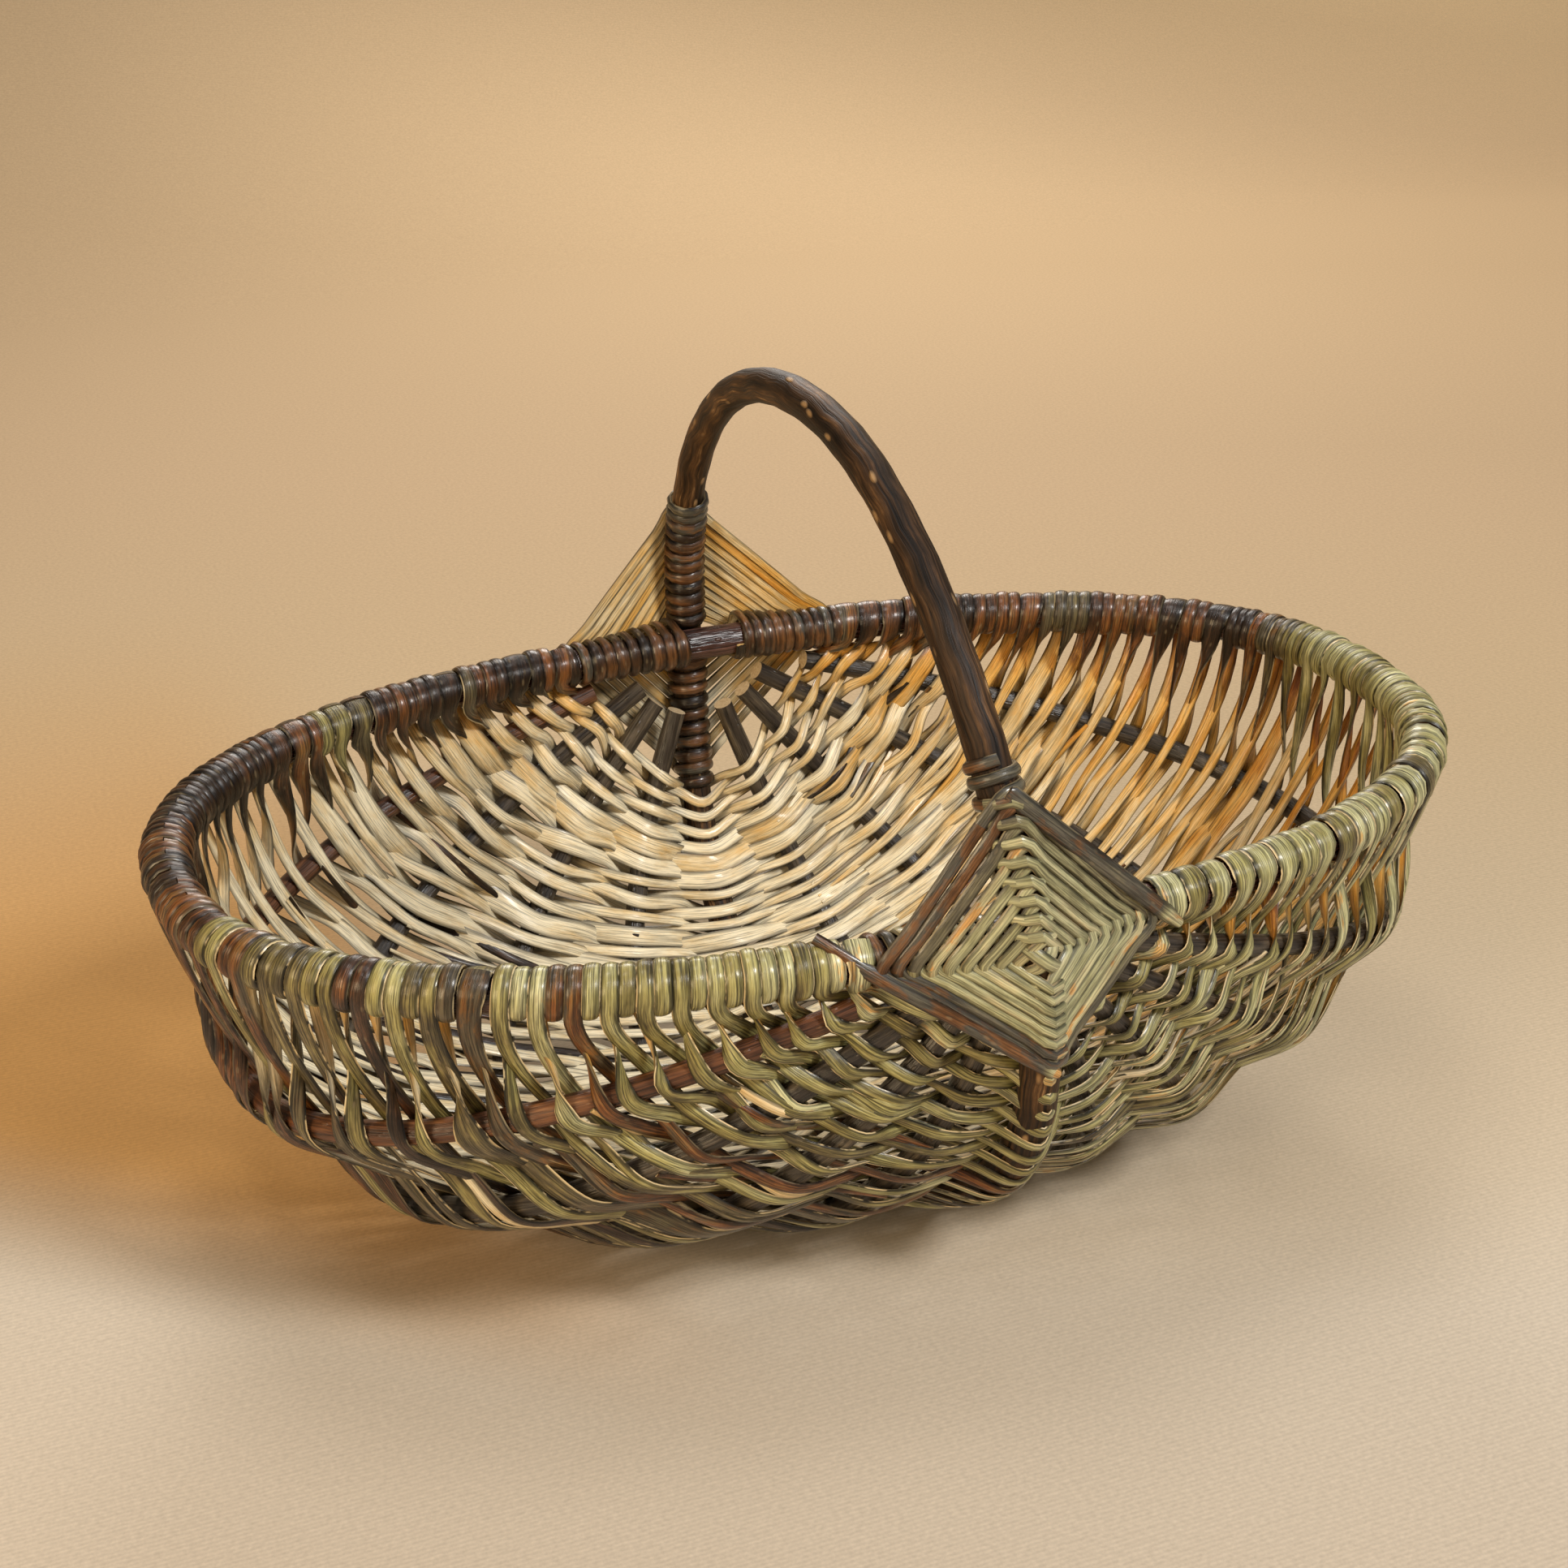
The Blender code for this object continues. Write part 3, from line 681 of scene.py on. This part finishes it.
def rowStops(half, row, outer, width, members=(1, 9)):
    places = [seat(paths[name], rowDistance(name, row, half), half) for name in weaveOrder]
    stops = []
    for index in range(members[0], members[1] + 1):
        name = weaveOrder[index]
        kind = memberKind(name)
        point, tangent = places[index]
        point = point + tangent * wobble((half, row, name), weave["sideways"][kind])
        travel = places[index + 1][0] - places[index - 1][0]
        travel = (travel - tangent * travel.dot(tangent)).normalized()
        outward = travel.cross(tangent)
        if outward.dot(Vector((point.x, 0, point.z - basket["rimZ"]))) < 0:
            outward = -outward
        radius = rodRadius(name, rowDistance(name, row, half))
        level = radius + weave["thickness"] * 0.4
        if (index % 2 == 0) != outer:
            level = -radius - weave["thickness"] * 0.5
        wide = width * weave["narrow"][kind] * (1 - weave["leftWider"] * point.x / basket["halfLength"])
        tilted = (outward + tangent * luck.uniform(-0.20, 0.20)).normalized()
        stops.append((point + outward * level, tilted, wide * luck.uniform(0.94, 1.08), weave["thickness"]))
        onward = places[index + 1][0] - point
        if onward.length > 0.012 and index < members[1]:
            nextLevel = -radius if level > 0 else radius
            long = min(onward.length / 0.04, 1)
            middle = point.lerp(places[index + 1][0], 0.5) + outward * (level + nextLevel) * 0.5
            middle = middle + tangent * luck.uniform(-1, 1) * weave["sideways"][kind] * long
            middle = middle + outward * luck.uniform(-1, 1) * weave["bulge"] * long
            tilted = (outward + tangent * luck.uniform(-0.75, 0.75)).normalized()
            wide = wide * (0.78 + 0.20 * long) * luck.uniform(0.92, 1.08)
            stops.append((middle, tilted, wide, weave["thickness"]))
    return stops


def twistStop(rimStop, ribStop, tangent, share):
    # the split turns edge on here, so that its bark faces out again
    middle = rimStop[0].lerp(ribStop[0], share)
    return (middle, tangent, (rimStop[2] + ribStop[2]) / 2 * 0.85, weave["thickness"])


def bridge(rimStops, rowPart, name, half, row, outer, rimFirst):
    # joins rim and row, with a half twist where the split comes off the inside of the rim
    if outer:
        return rimStops + rowPart if rimFirst else rowPart + rimStops
    tangent = seat(paths[name], rowDistance(name, row, half), half)[1] * luck.choice((-1, 1))
    if rimFirst:
        return rimStops + [twistStop(rimStops[-1], rowPart[0], tangent, twistPlace())] + rowPart
    return rowPart + [twistStop(rimStops[0], rowPart[-1], tangent, twistPlace())] + rimStops


def twistPlace():
    return luck.uniform(0.30, 0.75)


leftTurns = {}


def roundsAtRim(row):
    # wide single turns along the front and back, close double and triple ones round the ends
    toEnd = min(max((row / weave["rows"] - 0.45) / 0.30, 0), 1)
    if luck.random() < toEnd:
        return luck.choice((2, 3, 3))
    return 2 if luck.random() < weave["oftenTwice"] else 1


def splitWidth():
    kind = luck.random()
    if kind < 0.09:
        return weave["width"] * luck.uniform(1.42, 1.80)
    if kind < 0.35:
        return weave["width"] * luck.uniform(1.00, 1.22)
    return weave["width"] * luck.uniform(0.74, 1.00)


def weaverStops(half, number):
    # a split makes two rows: to the right, round the right rim and back to the left one
    row = 2 * number
    outer = half < 0
    width = splitWidth()
    rounds = roundsAtRim(row)
    cameRounds = leftTurns.get((half, row - 1), 1)
    leftTurns[(half, row + 1)] = rounds
    left = rimTurn("rimLeft", half, row - 1, not outer, cameRounds, (0.5, 1))
    go = rowStops(half, row, outer, width)
    right = rimTurn("rimRight", half, row, outer, roundsAtRim(row), (0, 1))
    back = list(reversed(rowStops(half, row + 1, not outer, width)))
    last = rimTurn("rimLeft", half, row + 1, not outer, rounds, (0, 0.5))
    stops = bridge(left, go, "rimLeft", half, row, outer, True)
    stops = bridge(right, stops, "rimRight", half, row, outer, False)
    more = bridge(last, back, "rimLeft", half, row + 1, not outer, False)
    if outer:
        tangent = seat(paths["rimRight"], rowDistance("rimRight", row + 1, half), half)[1]
        stops.append(twistStop(stops[-1], more[0], tangent * luck.choice((-1, 1)), twistPlace()))
    return stops + more


def fillerStops(half, row):
    # a short split tucked in beside a row, thinned at both ends, on one side of the basket
    members = luck.choice(((1, 3), (1, 4), (2, 4), (6, 8), (6, 9), (7, 9)))
    width = weave["width"] * luck.uniform(0.50, 0.80)
    stops = rowStops(half, row, luck.random() < 0.5, width, members)
    for end in (0, -1):
        place, normal, wide, thick = stops[end]
        stops[end] = (place - normal * 0.0006, normal, wide * 0.45, thick * 0.7)
    return stops


fillerRows = {half: sorted(luck.uniform(6, weave["rows"] - 2) for _ in range(weave["fillers"]))
              for half in (-1, 1)}
for half, place in ((-1, "Front"), (1, "Back")):
    for group in range(weave["rows"] // weave["rowsPerNode"]):
        parts = []
        for number in range(weave["rowsPerNode"] // 2):
            stops = weaverStops(half, weave["rowsPerNode"] // 2 * group + number)
            parts.append(sweepMesh(stops, splitProfile, luckyLook(), splitBarkColumns))
        for row in fillerRows[half]:
            if row // weave["rowsPerNode"] == group:
                # some of them lie with their bark to the inside
                profile = turnedProfile if luck.random() < weave["turnedOver"] else splitProfile
                parts.append(sweepMesh(fillerStops(half, row), profile, luckyLook(), splitBarkColumns))
        node = "weaver_" + place.lower() + "_" + str(group + 1)
        addPiece("weave" + place + str(group + 1), parts, [splitWillow], [node])
print("weave made")


# hoops

hoops = {"sides": 22, "step": 0.006, "knotEvery": 0.07}


def rodLook(seed):
    return lambda place: np.tile((0.5, 0.5, seed, 1.0), (len(place), 1))


def hoopStops(first, second, radiusAt):
    front = paths[first]["points"][4:-4:6]
    under = paths[second]["points"][-5:4:-6]
    loop = np.vstack([front, under, front[:1]])
    stops = []
    for index, point in enumerate(loop):
        middle = Vector((0, 0, basket["rimZ"] - 0.02))
        radius = radiusAt(point) * (1 + 0.018 * math.sin(index * 1.7) + 0.012 * math.sin(index * 0.61 + 1))
        stops.append((Vector(point), Vector(point) - middle, 2 * radius, 2 * radius))
    stops[-1] = stops[0]
    return stops


rimStops = hoopStops("rimLeft", "rimRight", lambda point: 0.0074)
rimStops = [(spot, up, wide, thick) for spot, normal, wide, thick in rimStops]
rimRod = sweepMesh(rimStops, roundProfile(hoops["sides"]), rodLook(0.31), closed=True, step=hoops["step"])
addPiece("rimRod", [rimRod], [rimBarkPaintedShade], ["rim_hoop"])

handleStops = hoopStops("arch", "keel", lambda point: handleRadius(point[1]))
handleStops = [(spot, Vector((1, 0, 0)), wide, thick) for spot, normal, wide, thick in handleStops]
handleRod = sweepMesh(handleStops, roundProfile(hoops["sides"]), rodLook(0.77), closed=True, step=hoops["step"])
addPiece("handleRod", [handleRod], [handleBark], ["handle_hoop"])


# ribs, cut on a slant at both ends

def ribMesh(name):
    path = paths[name]
    start = ribRods["firstStart"] if name.endswith("1") else ribRods["start"]
    total = 2 * path["half"]
    count = 60
    stops = []
    for index in range(count + 1):
        distance = start + (total - 2 * start) * index / count
        fromEnd = min(distance, total - distance)
        radius = rodRadius(name, fromEnd) * (1 + 0.03 * math.sin(index * 0.9 + len(name)))
        stops.append((along(path, distance), Vector((0, 0.001, 1)), 2 * radius, 2 * radius))
    rod = sweepMesh(stops, roundProfile(ribRods["sides"]), rodLook(luck.random()), step=0.006)
    for end, half in ((stops[0], -1), (stops[-1], 1)):
        # a slanting cut that faces the inside of the basket
        tip = end[0]
        inward = Vector((-tip.x, 0, basket["rimZ"] - tip.z)).normalized()
        tangent = seat(path, start, half)[1]
        slant = (inward * ribRods["cutLength"] - tangent * 2 * ribRods["tip"]).normalized()
        cutAt = tip + tangent * ribRods["cutLength"] * 0.5
        geometry = rod.verts[:] + rod.edges[:] + rod.faces[:]
        cut = bmesh.ops.bisect_plane(rod, geom=geometry, plane_co=cutAt, plane_no=slant, clear_outer=False)
        edges = [part for part in cut["geom_cut"] if isinstance(part, bmesh.types.BMEdge)]
        near = [edge for edge in edges if (edge.verts[0].co - tip).length < 0.03]
        gone = [face for face in rod.faces
                if (face.calc_center_median() - tip).length < 0.03
                and (face.calc_center_median() - cutAt).dot(slant) > 0.000001]
        bmesh.ops.delete(rod, geom=gone, context="FACES")
        loop = [edge for edge in near if edge.is_valid and edge.is_boundary]
        filled = bmesh.ops.holes_fill(rod, edges=loop, sides=0)
        for face in filled["faces"]:
            face.material_index = 1
    bmesh.ops.recalc_face_normals(rod, faces=rod.faces)
    return rod


for sideName in ("Left", "Right"):
    for number in (1, 2, 3, 4):
        bark = redBark if (sideName, number) == ("Left", 1) else ribBark
        node = "rib_" + sideName.lower() + "_" + str(number)
        addPiece("rib" + sideName + str(number), [ribMesh("rib" + sideName + str(number))], [bark, cutWood],
                 [node])
print("rods made")


# diamond lashings

lashing = {
    "start": 0.0075,
    "pitch": 0.0060,
    "rounds": {-1: 8, 1: 10},
    "wrapWidth": 0.0063,
    "slopeWidth": {-1: 0.0048, 1: 0.0044},
    "thickness": 0.0031,
    "wrapStep": 30,
    "rise": 0.0016,
    "core": 0.011,
    "coreReach": 0.048,
    # how far the rounds reach on each arm, and how much rod stays bare by the middle
    "reach": {-1: {"arch": 1.17, "keel": 0.80}, 1: {"keel": 1.12}},
    "bare": {-1: {}, 1: {"rimRight": 0.012}},
    "bareReach": 0.070,
    "uneven": 0.0004,
}
# clockwise seen from in front of each lashing
arms = {-1: ["rimLeft", "arch", "rimRight", "keel"], 1: ["rimRight", "arch", "rimLeft", "keel"]}


def lashingSeat(name, distance, half):
    distance = distance * lashing["reach"][half].get(name, 1)
    distance += lashing["bare"][half].get(name, 0) * max(1 - distance / lashing["bareReach"], 0)
    point, tangent = seat(paths[name], distance, half)
    outward = Vector((0, half, 0))
    outward = (outward - tangent * outward.dot(tangent)).normalized()
    return point, tangent, outward


def lashingLevel(name, distance, angle, half):
    # the splits on the rim arms ride on a padded core, so that the diamond lies nearly flat
    radius = basket["hoopRadius"] if name.startswith("rim") else handleRadius(half * hoopHalfWidth)
    level = radius + lashing["thickness"] * 0.33
    if name.startswith("rim"):
        share = max(1 - distance / lashing["coreReach"], 0)
        level += lashing["core"] * share * max(math.cos(angle), 0) ** 2
    return level


# bark of the outer rounds in front: upper left, upper right, lower right, lower left
outerTones = [(0.84, (0.26, 0.60, 0.44, 0.34)), (0.72, (0.50, 0.66, 0.98, 0.97)),
              (0.60, (0.96, 0.80, 0.74, 0.80))]
ringTone = 0.36


def lashingTone(half, quarter):
    if half > 0:
        return luck.choice((0.04, 0.07, 0.10, 0.14, 0.20, 0.27))
    outside = quarter / (lashing["rounds"][half] * 4)
    for share, tones in outerTones:
        if outside > share:
            return tones[quarter % 4]
    return luck.choice((0.78, 0.82, 0.85, 0.75, 0.80, 0.86))


def lashingParts(half):
    parts = []
    stops = []
    quarters = lashing["rounds"][half] * 4 + 2
    tone = lashingTone(half, 0)
    order = arms[half]
    for quarter in range(quarters):
        name = order[quarter % 4]
        onward = order[(quarter + 1) % 4]
        middle = lashing["start"] + lashing["pitch"] * quarter / 4
        point, tangent, outward = lashingSeat(name, middle, half)
        onwardTangent = lashingSeat(onward, middle, half)[1]
        fat = luck.uniform(-1, 1)
        slopeWide = lashing["slopeWidth"][half] * luck.uniform(0.90, 1.12)
        astray = luck.uniform(-1, 1) * lashing["uneven"]
        # over the arm, down its far side, round behind it and over it again; on the last arm twice round
        lastTurn = quarter == quarters - 1
        if lastTurn:
            parts.append((stops, tone))
            tone = ringTone
            stops = stops[-1:]
        for turned in range(0, 721 if lastTurn else 361, lashing["wrapStep"]):
            if quarter == 0 and turned < 180:
                continue
            share = turned / 360
            shift = lashing["pitch"] * (0.8 if lastTurn else 0.34) * (share - 0.5)
            angle = math.radians(turned)
            behind = max(-math.cos(angle), 0)
            spot, tangent, outward = lashingSeat(name, middle + shift + astray * behind, half)
            sideways = tangent.cross(outward)
            if sideways.dot(onwardTangent) < 0:
                sideways = -sideways
            radial = outward * math.cos(angle) + sideways * math.sin(angle)
            level = lashingLevel(name, middle, angle, half) + lashing["uneven"] * (1 + fat) * behind
            level += lashing["rise"] * min(max(share - 0.75, 0) * 4, 0 if lastTurn else 1)
            facing = radial
            if turned in (0, 360):
                facing = (radial + tangent * 0.15).normalized()
            spare = lashing["wrapWidth"] * (1 + 0.18 * fat) - lashing["slopeWidth"][half]
            width = lashing["slopeWidth"][half] + spare * behind
            stops.append((spot + radial * level, facing, width * luck.uniform(0.96, 1.05), lashing["thickness"]))
        outerPart = half < 0 and quarter / quarters > outerTones[-1][0] - 0.05
        if quarter % 2 == 1 or outerPart or lastTurn:
            # a new split takes over on the arm
            parts.append((stops, tone))
            tone = lashingTone(half, quarter)
            stops = stops[-3:]
        if quarter < quarters - 1:
            nextMiddle = middle + lashing["pitch"] * (0.25 - 0.17)
            near, nearTangent, nearOutward = lashingSeat(onward, nextMiddle, half)
            target = near + nearOutward * lashingLevel(onward, nextMiddle, 0, half)
            leaving = stops[-1][0]
            facing = (outward + nearOutward).normalized()
            for share in (0.2, 0.5, 0.8):
                spot = leaving.lerp(target, share) + facing * 0.0004 * math.sin(share * math.pi)
                width = slopeWide * luck.uniform(0.97, 1.04)
                stops.append((spot, facing, width, lashing["thickness"]))
    # two short splits cross over the middle
    core = lashing["start"] * 1.5
    for first, second, raised in (("rimLeft", "rimRight", 0.0016), ("rimRight", "rimLeft", 0.0003)):
        upPlace = lashingSeat("arch", core, half)
        downPlace = lashingSeat("keel", core, half)
        topLevel = basket["hoopRadius"] + lashing["thickness"] * 0.4
        firstSpot = (lashingSeat(first, core, half)[0] + upPlace[0]) / 2
        secondSpot = (lashingSeat(second, core, half)[0] + downPlace[0]) / 2
        outward = Vector((0, half, 0))
        front = Vector((0, half * (hoopHalfWidth + topLevel), 0))
        crossing = []
        for share in (0.0, 0.25, 0.5, 0.75, 1.0):
            spot = firstSpot.lerp(secondSpot, share)
            lift = raised * math.sin(share * math.pi) - 0.0035 * (2 * share - 1) ** 2
            spot = Vector((spot.x, front.y + half * lift, spot.z))
            crossing.append((spot, outward, 0.0062, lashing["thickness"]))
        parts.append((crossing, lashingTone(half, 0)))
    for plan in edgeSplits:
        if plan["half"] == half:
            parts.append(edgeSplit(plan))
    strips = []
    for part, partTone in parts:
        stain = luck.choice((-0.1, -0.1, 0.0, 0.1, 0.35)) if half > 0 else -0.1
        look = stripLook(luck.uniform(-0.03, 0.03), stain, luck.random(), partTone)
        strips.append(sweepMesh(part, splitProfile, look, splitBarkColumns, step=0.004, most=6))
    return strips


# wide splits laid last along two edges of the front lashing, running on past its corners
edgeSplits = [
    {"half": -1, "from": ("arch", 0.0540), "to": ("rimRight", 0.0600), "before": 0.001, "after": 0.011,
     "width": 0.0080, "thickness": 0.0036, "tone": 0.33, "endTone": 0.98, "endLength": 0.014},
    {"half": -1, "from": ("rimLeft", 0.0590), "to": ("keel", 0.0590), "before": 0.022, "after": 0.002,
     "width": 0.0064, "thickness": 0.0034, "tone": 0.31, "endTone": 0.97, "endLength": 0.006},
]


def edgeSplit(plan):
    half = plan["half"]
    corners = []
    for name, distance in (plan["from"], plan["to"]):
        spot, tangent, outward = lashingSeat(name, distance, half)
        corners.append(spot + outward * (lashingLevel(name, distance, 0, half) + 0.45 * plan["thickness"]))
    direction = (corners[1] - corners[0]).normalized()
    outward = Vector((0, half, 0))
    outward = (outward - direction * outward.dot(direction)).normalized()
    middle = (corners[0] + corners[1]) / 2 + outward * 0.0006
    tucked = -outward * 0.35 * plan["before"]
    spots = [corners[0] - direction * plan["before"] + tucked, corners[0], middle, corners[1],
             corners[1] + direction * plan["after"] - outward * 0.30 * plan["after"]]
    shares = (0.72, 1.0, 1.0, 0.95, 0.62)
    stops = [(spot, outward, plan["width"] * share, plan["thickness"]) for spot, share in zip(spots, shares)]
    tip = np.array(spots[-1])

    def tone(place):
        toTip = np.linalg.norm(place - tip, axis=1)
        return np.where(toTip < plan["endLength"], plan["endTone"], plan["tone"])

    return stops, tone


for half, place in ((-1, "Front"), (1, "Back")):
    node = "gods_eye_" + place.lower()
    addPiece("godsEye" + place, lashingParts(half), [lashingWillow], [node])
print("lashings made")


# paper sweep under and behind the basket

paper = {
    "front": -3.0, "bendAt": 1.5, "bendRadius": 1.2, "top": 3.0, "halfWidth": 5.0,
    # the paper's tan, with painted light and shade: tones along the floor and up the back, by distance away from
    # the camera's side
    "towards": (0.389, 0.921, 0.0),
    "tones": [(-0.30, (0.570, 0.480, 0.375)), (-0.12, (0.580, 0.500, 0.400)), (-0.03, (0.550, 0.460, 0.345)),
              (0.20, (0.530, 0.415, 0.275)), (0.44, (0.520, 0.385, 0.232)), (0.88, (0.505, 0.362, 0.220)),
              (1.60, (0.455, 0.325, 0.190)), (2.20, (0.475, 0.345, 0.205)), (2.60, (0.530, 0.390, 0.225))],
    # painted warm shadow under the left of the basket, and how strongly it is laid on
    "paintedShadow": (0.53, 0.285, 0.090),
    "paintedShadowAmount": 0.97,
    # painted light: how much paler the far part is painted at its left and at its right
    "farLeft": 1.0,
    "farRight": 1.6,
}


def makePaper():
    sheet = bmesh.new()
    ends = [sheet.verts.new((side * paper["halfWidth"], paper["front"], 0)) for side in (-1, 1)]
    edge = sheet.edges.new(ends)

    def extend(edge, direction):
        grown = bmesh.ops.extrude_edge_only(sheet, edges=[edge])["geom"]
        moved = [part for part in grown if isinstance(part, bmesh.types.BMVert)]
        bmesh.ops.translate(sheet, verts=moved, vec=direction)
        return [part for part in grown if isinstance(part, bmesh.types.BMEdge)][0]

    edge = extend(edge, (0, paper["bendAt"] - paper["front"], 0))
    turned = bmesh.ops.spin(sheet, geom=[edge, *edge.verts], cent=(0, paper["bendAt"], paper["bendRadius"]),
                            axis=(1, 0, 0), dvec=(0, 0, 0), angle=math.radians(90), steps=24)["geom_last"]
    edge = [part for part in turned if isinstance(part, bmesh.types.BMEdge)][0]
    extend(edge, (0, 0, paper["top"] - paper["bendRadius"]))
    bmesh.ops.recalc_face_normals(sheet, faces=sheet.faces)
    mesh = bpy.data.meshes.new("paper")
    sheet.to_mesh(mesh)
    sheet.free()
    mesh.shade_smooth()
    floor = bpy.data.objects.new("paper", mesh)
    bpy.context.scene.collection.objects.link(floor)
    material, tree, shader = newMaterial("warmPaper")
    spot = addNode(tree, "TexCoord")
    split = addNode(tree, "SeparateXYZ")
    join(tree, spot.outputs["Object"], split.inputs[0])
    distance = addNode(tree, "VectorMath", operation="DOT_PRODUCT")
    join(tree, spot.outputs["Object"], distance.inputs[0])
    distance.inputs[1].default_value = paper["towards"]
    nearest, farthest = paper["tones"][0][0], paper["tones"][-1][0]
    share = mapNode(tree, distance.outputs["Value"], nearest, farthest, 0.0, 1.0)
    tones = addNode(tree, "ValToRGB")
    fillRamp(tones.color_ramp,
             [((place - nearest) / (farthest - nearest), tone) for place, tone in paper["tones"]])
    join(tree, share, tones.inputs[0])
    # painted shadow: warmer and darker low down on the left, under the left of the basket
    toLeft = mapNode(tree, split.outputs["X"], -0.07, -0.22, 0.0, 1.0, smooth=True)
    closeBy = mapNode(tree, split.outputs["Y"], 0.80, 0.20, 0.0, 1.0, smooth=True)
    slanted = mathNode(tree, "MULTIPLY_ADD", split.outputs["X"], 0.9, split.outputs["Y"])
    fromFront = mapNode(tree, slanted, -0.29, -0.15, 0.0, 1.0, smooth=True)
    paintedShadowMask = mathNode(tree, "MULTIPLY", mathNode(tree, "MULTIPLY", toLeft, closeBy), fromFront)
    paintedShadowMask = mathNode(tree, "MULTIPLY", paintedShadowMask, paper["paintedShadowAmount"])
    paperWithPaintedLight = mixColour(tree, paintedShadowMask, tones.outputs[0], paper["paintedShadow"])
    # painted light: the far part is painted a little paler towards the right
    farAway = mapNode(tree, distance.outputs["Value"], 1.0, 1.9, 0.0, 1.0)
    sidePaintedLight = mapNode(tree, split.outputs["X"], -0.04, 1.87, paper["farLeft"] - 1, paper["farRight"] - 1)
    farPaintedLight = mathNode(tree, "MULTIPLY_ADD", farAway, sidePaintedLight, 1.0)
    paperWithPaintedLight = mixColour(tree, 1.0, paperWithPaintedLight, farPaintedLight, "MULTIPLY")
    fibre = addNode(tree, "TexNoise", Scale=420.0, Detail=4.0, Roughness=0.7)
    join(tree, spot.outputs["Object"], fibre.inputs["Vector"])
    ribs = addNode(tree, "TexWave", Scale=150.0, Distortion=1.5, bands_direction="Y")
    join(tree, spot.outputs["Object"], ribs.inputs["Vector"])
    ribShade = mathNode(tree, "MULTIPLY_ADD", ribs.outputs[1], 0.08, -0.04)
    grain = mathNode(tree, "ADD", mapNode(tree, fibre.outputs[0], 0.3, 0.7, 0.89, 1.09), ribShade)
    join(tree, mixColour(tree, 1.0, paperWithPaintedLight, grain, "MULTIPLY"), shader.inputs["Base Color"])
    shader.inputs["Roughness"].default_value = 0.9
    shader.inputs["Specular IOR Level"].default_value = 0.2
    bump = addNode(tree, "Bump", Strength=0.2, Distance=0.0004)
    join(tree, grain, bump.inputs["Height"])
    join(tree, bump.outputs[0], shader.inputs["Normal"])
    mesh.materials.append(material)


makePaper()


# camera and light

cameraPlace = {
    "turn": -22.91, "height": 25.98, "roll": 0.43, "distance": 0.987,
    "lookAt": (-0.0273, -0.0188, 0.1884), "lens": 55.93,
}


def makeCamera():
    turn, height = math.radians(cameraPlace["turn"]), math.radians(cameraPlace["height"])
    target = Vector(cameraPlace["lookAt"])
    away = Vector((math.sin(turn) * math.cos(height), -math.cos(turn) * math.cos(height), math.sin(height)))
    lens = bpy.data.cameras.new("camera")
    lens.lens = cameraPlace["lens"]
    lens.sensor_width = 36
    lens.sensor_fit = "HORIZONTAL"
    lens.clip_start = 0.01
    camera = bpy.data.objects.new("camera", lens)
    bpy.context.scene.collection.objects.link(camera)
    camera.location = target + away * cameraPlace["distance"]
    facing = (-away).to_track_quat("-Z", "Y").to_matrix()
    roll = math.radians(cameraPlace["roll"])
    sideAxis, upAxis, backAxis = facing.col
    turned = facing.copy()
    turned.col[0] = sideAxis * math.cos(roll) + upAxis * math.sin(roll)
    turned.col[1] = upAxis * math.cos(roll) - sideAxis * math.sin(roll)
    camera.rotation_euler = turned.to_euler()
    bpy.context.scene.camera = camera


lamps = {
    "window": {"from": (0.9, -1.6, 2.0), "size": 0.6, "power": 48, "colour": (1.0, 0.985, 0.96)},
    "leftGlow": {"from": (-1.6, -0.9, 0.85), "size": 0.9, "power": 21, "colour": (1.0, 0.76, 0.46)},
    "overhead": {"from": (-0.2, 0.3, 2.3), "size": 0.7, "power": 9, "colour": (1.0, 0.98, 0.96)},
    "behind": {"from": (0.62, 1.75, 1.15), "size": 0.8, "power": 16, "colour": (1.0, 0.98, 0.95)},
    "backdrop": {"from": (1.1, 1.1, 2.3), "size": 1.2, "power": 11, "colour": (1.0, 0.98, 0.96),
                 "at": (1.3, 2.7, 0.7)},
    "room": {"strength": 0.17, "colour": (1.0, 0.975, 0.94)},
}


def makeLights():
    for name in ("window", "leftGlow", "overhead", "behind", "backdrop"):
        plan = lamps[name]
        light = bpy.data.lights.new(name, "AREA")
        light.shape = "SQUARE"
        light.size = plan["size"]
        light.energy = plan["power"]
        light.color = plan["colour"]
        lamp = bpy.data.objects.new(name, light)
        bpy.context.scene.collection.objects.link(lamp)
        lamp.location = plan["from"]
        target = Vector(plan.get("at", (0, 0, 0.12)))
        lamp.rotation_euler = (target - Vector(plan["from"])).to_track_quat("-Z", "Y").to_euler()
    world = bpy.data.worlds.new("room")
    world.use_nodes = True
    back = world.node_tree.nodes["Background"]
    back.inputs[0].default_value = (*lamps["room"]["colour"], 1)
    back.inputs[1].default_value = lamps["room"]["strength"]
    bpy.context.scene.world = world


makeCamera()
makeLights()
bpy.context.scene.view_settings.view_transform = "Standard"
print("stage, camera and light made")
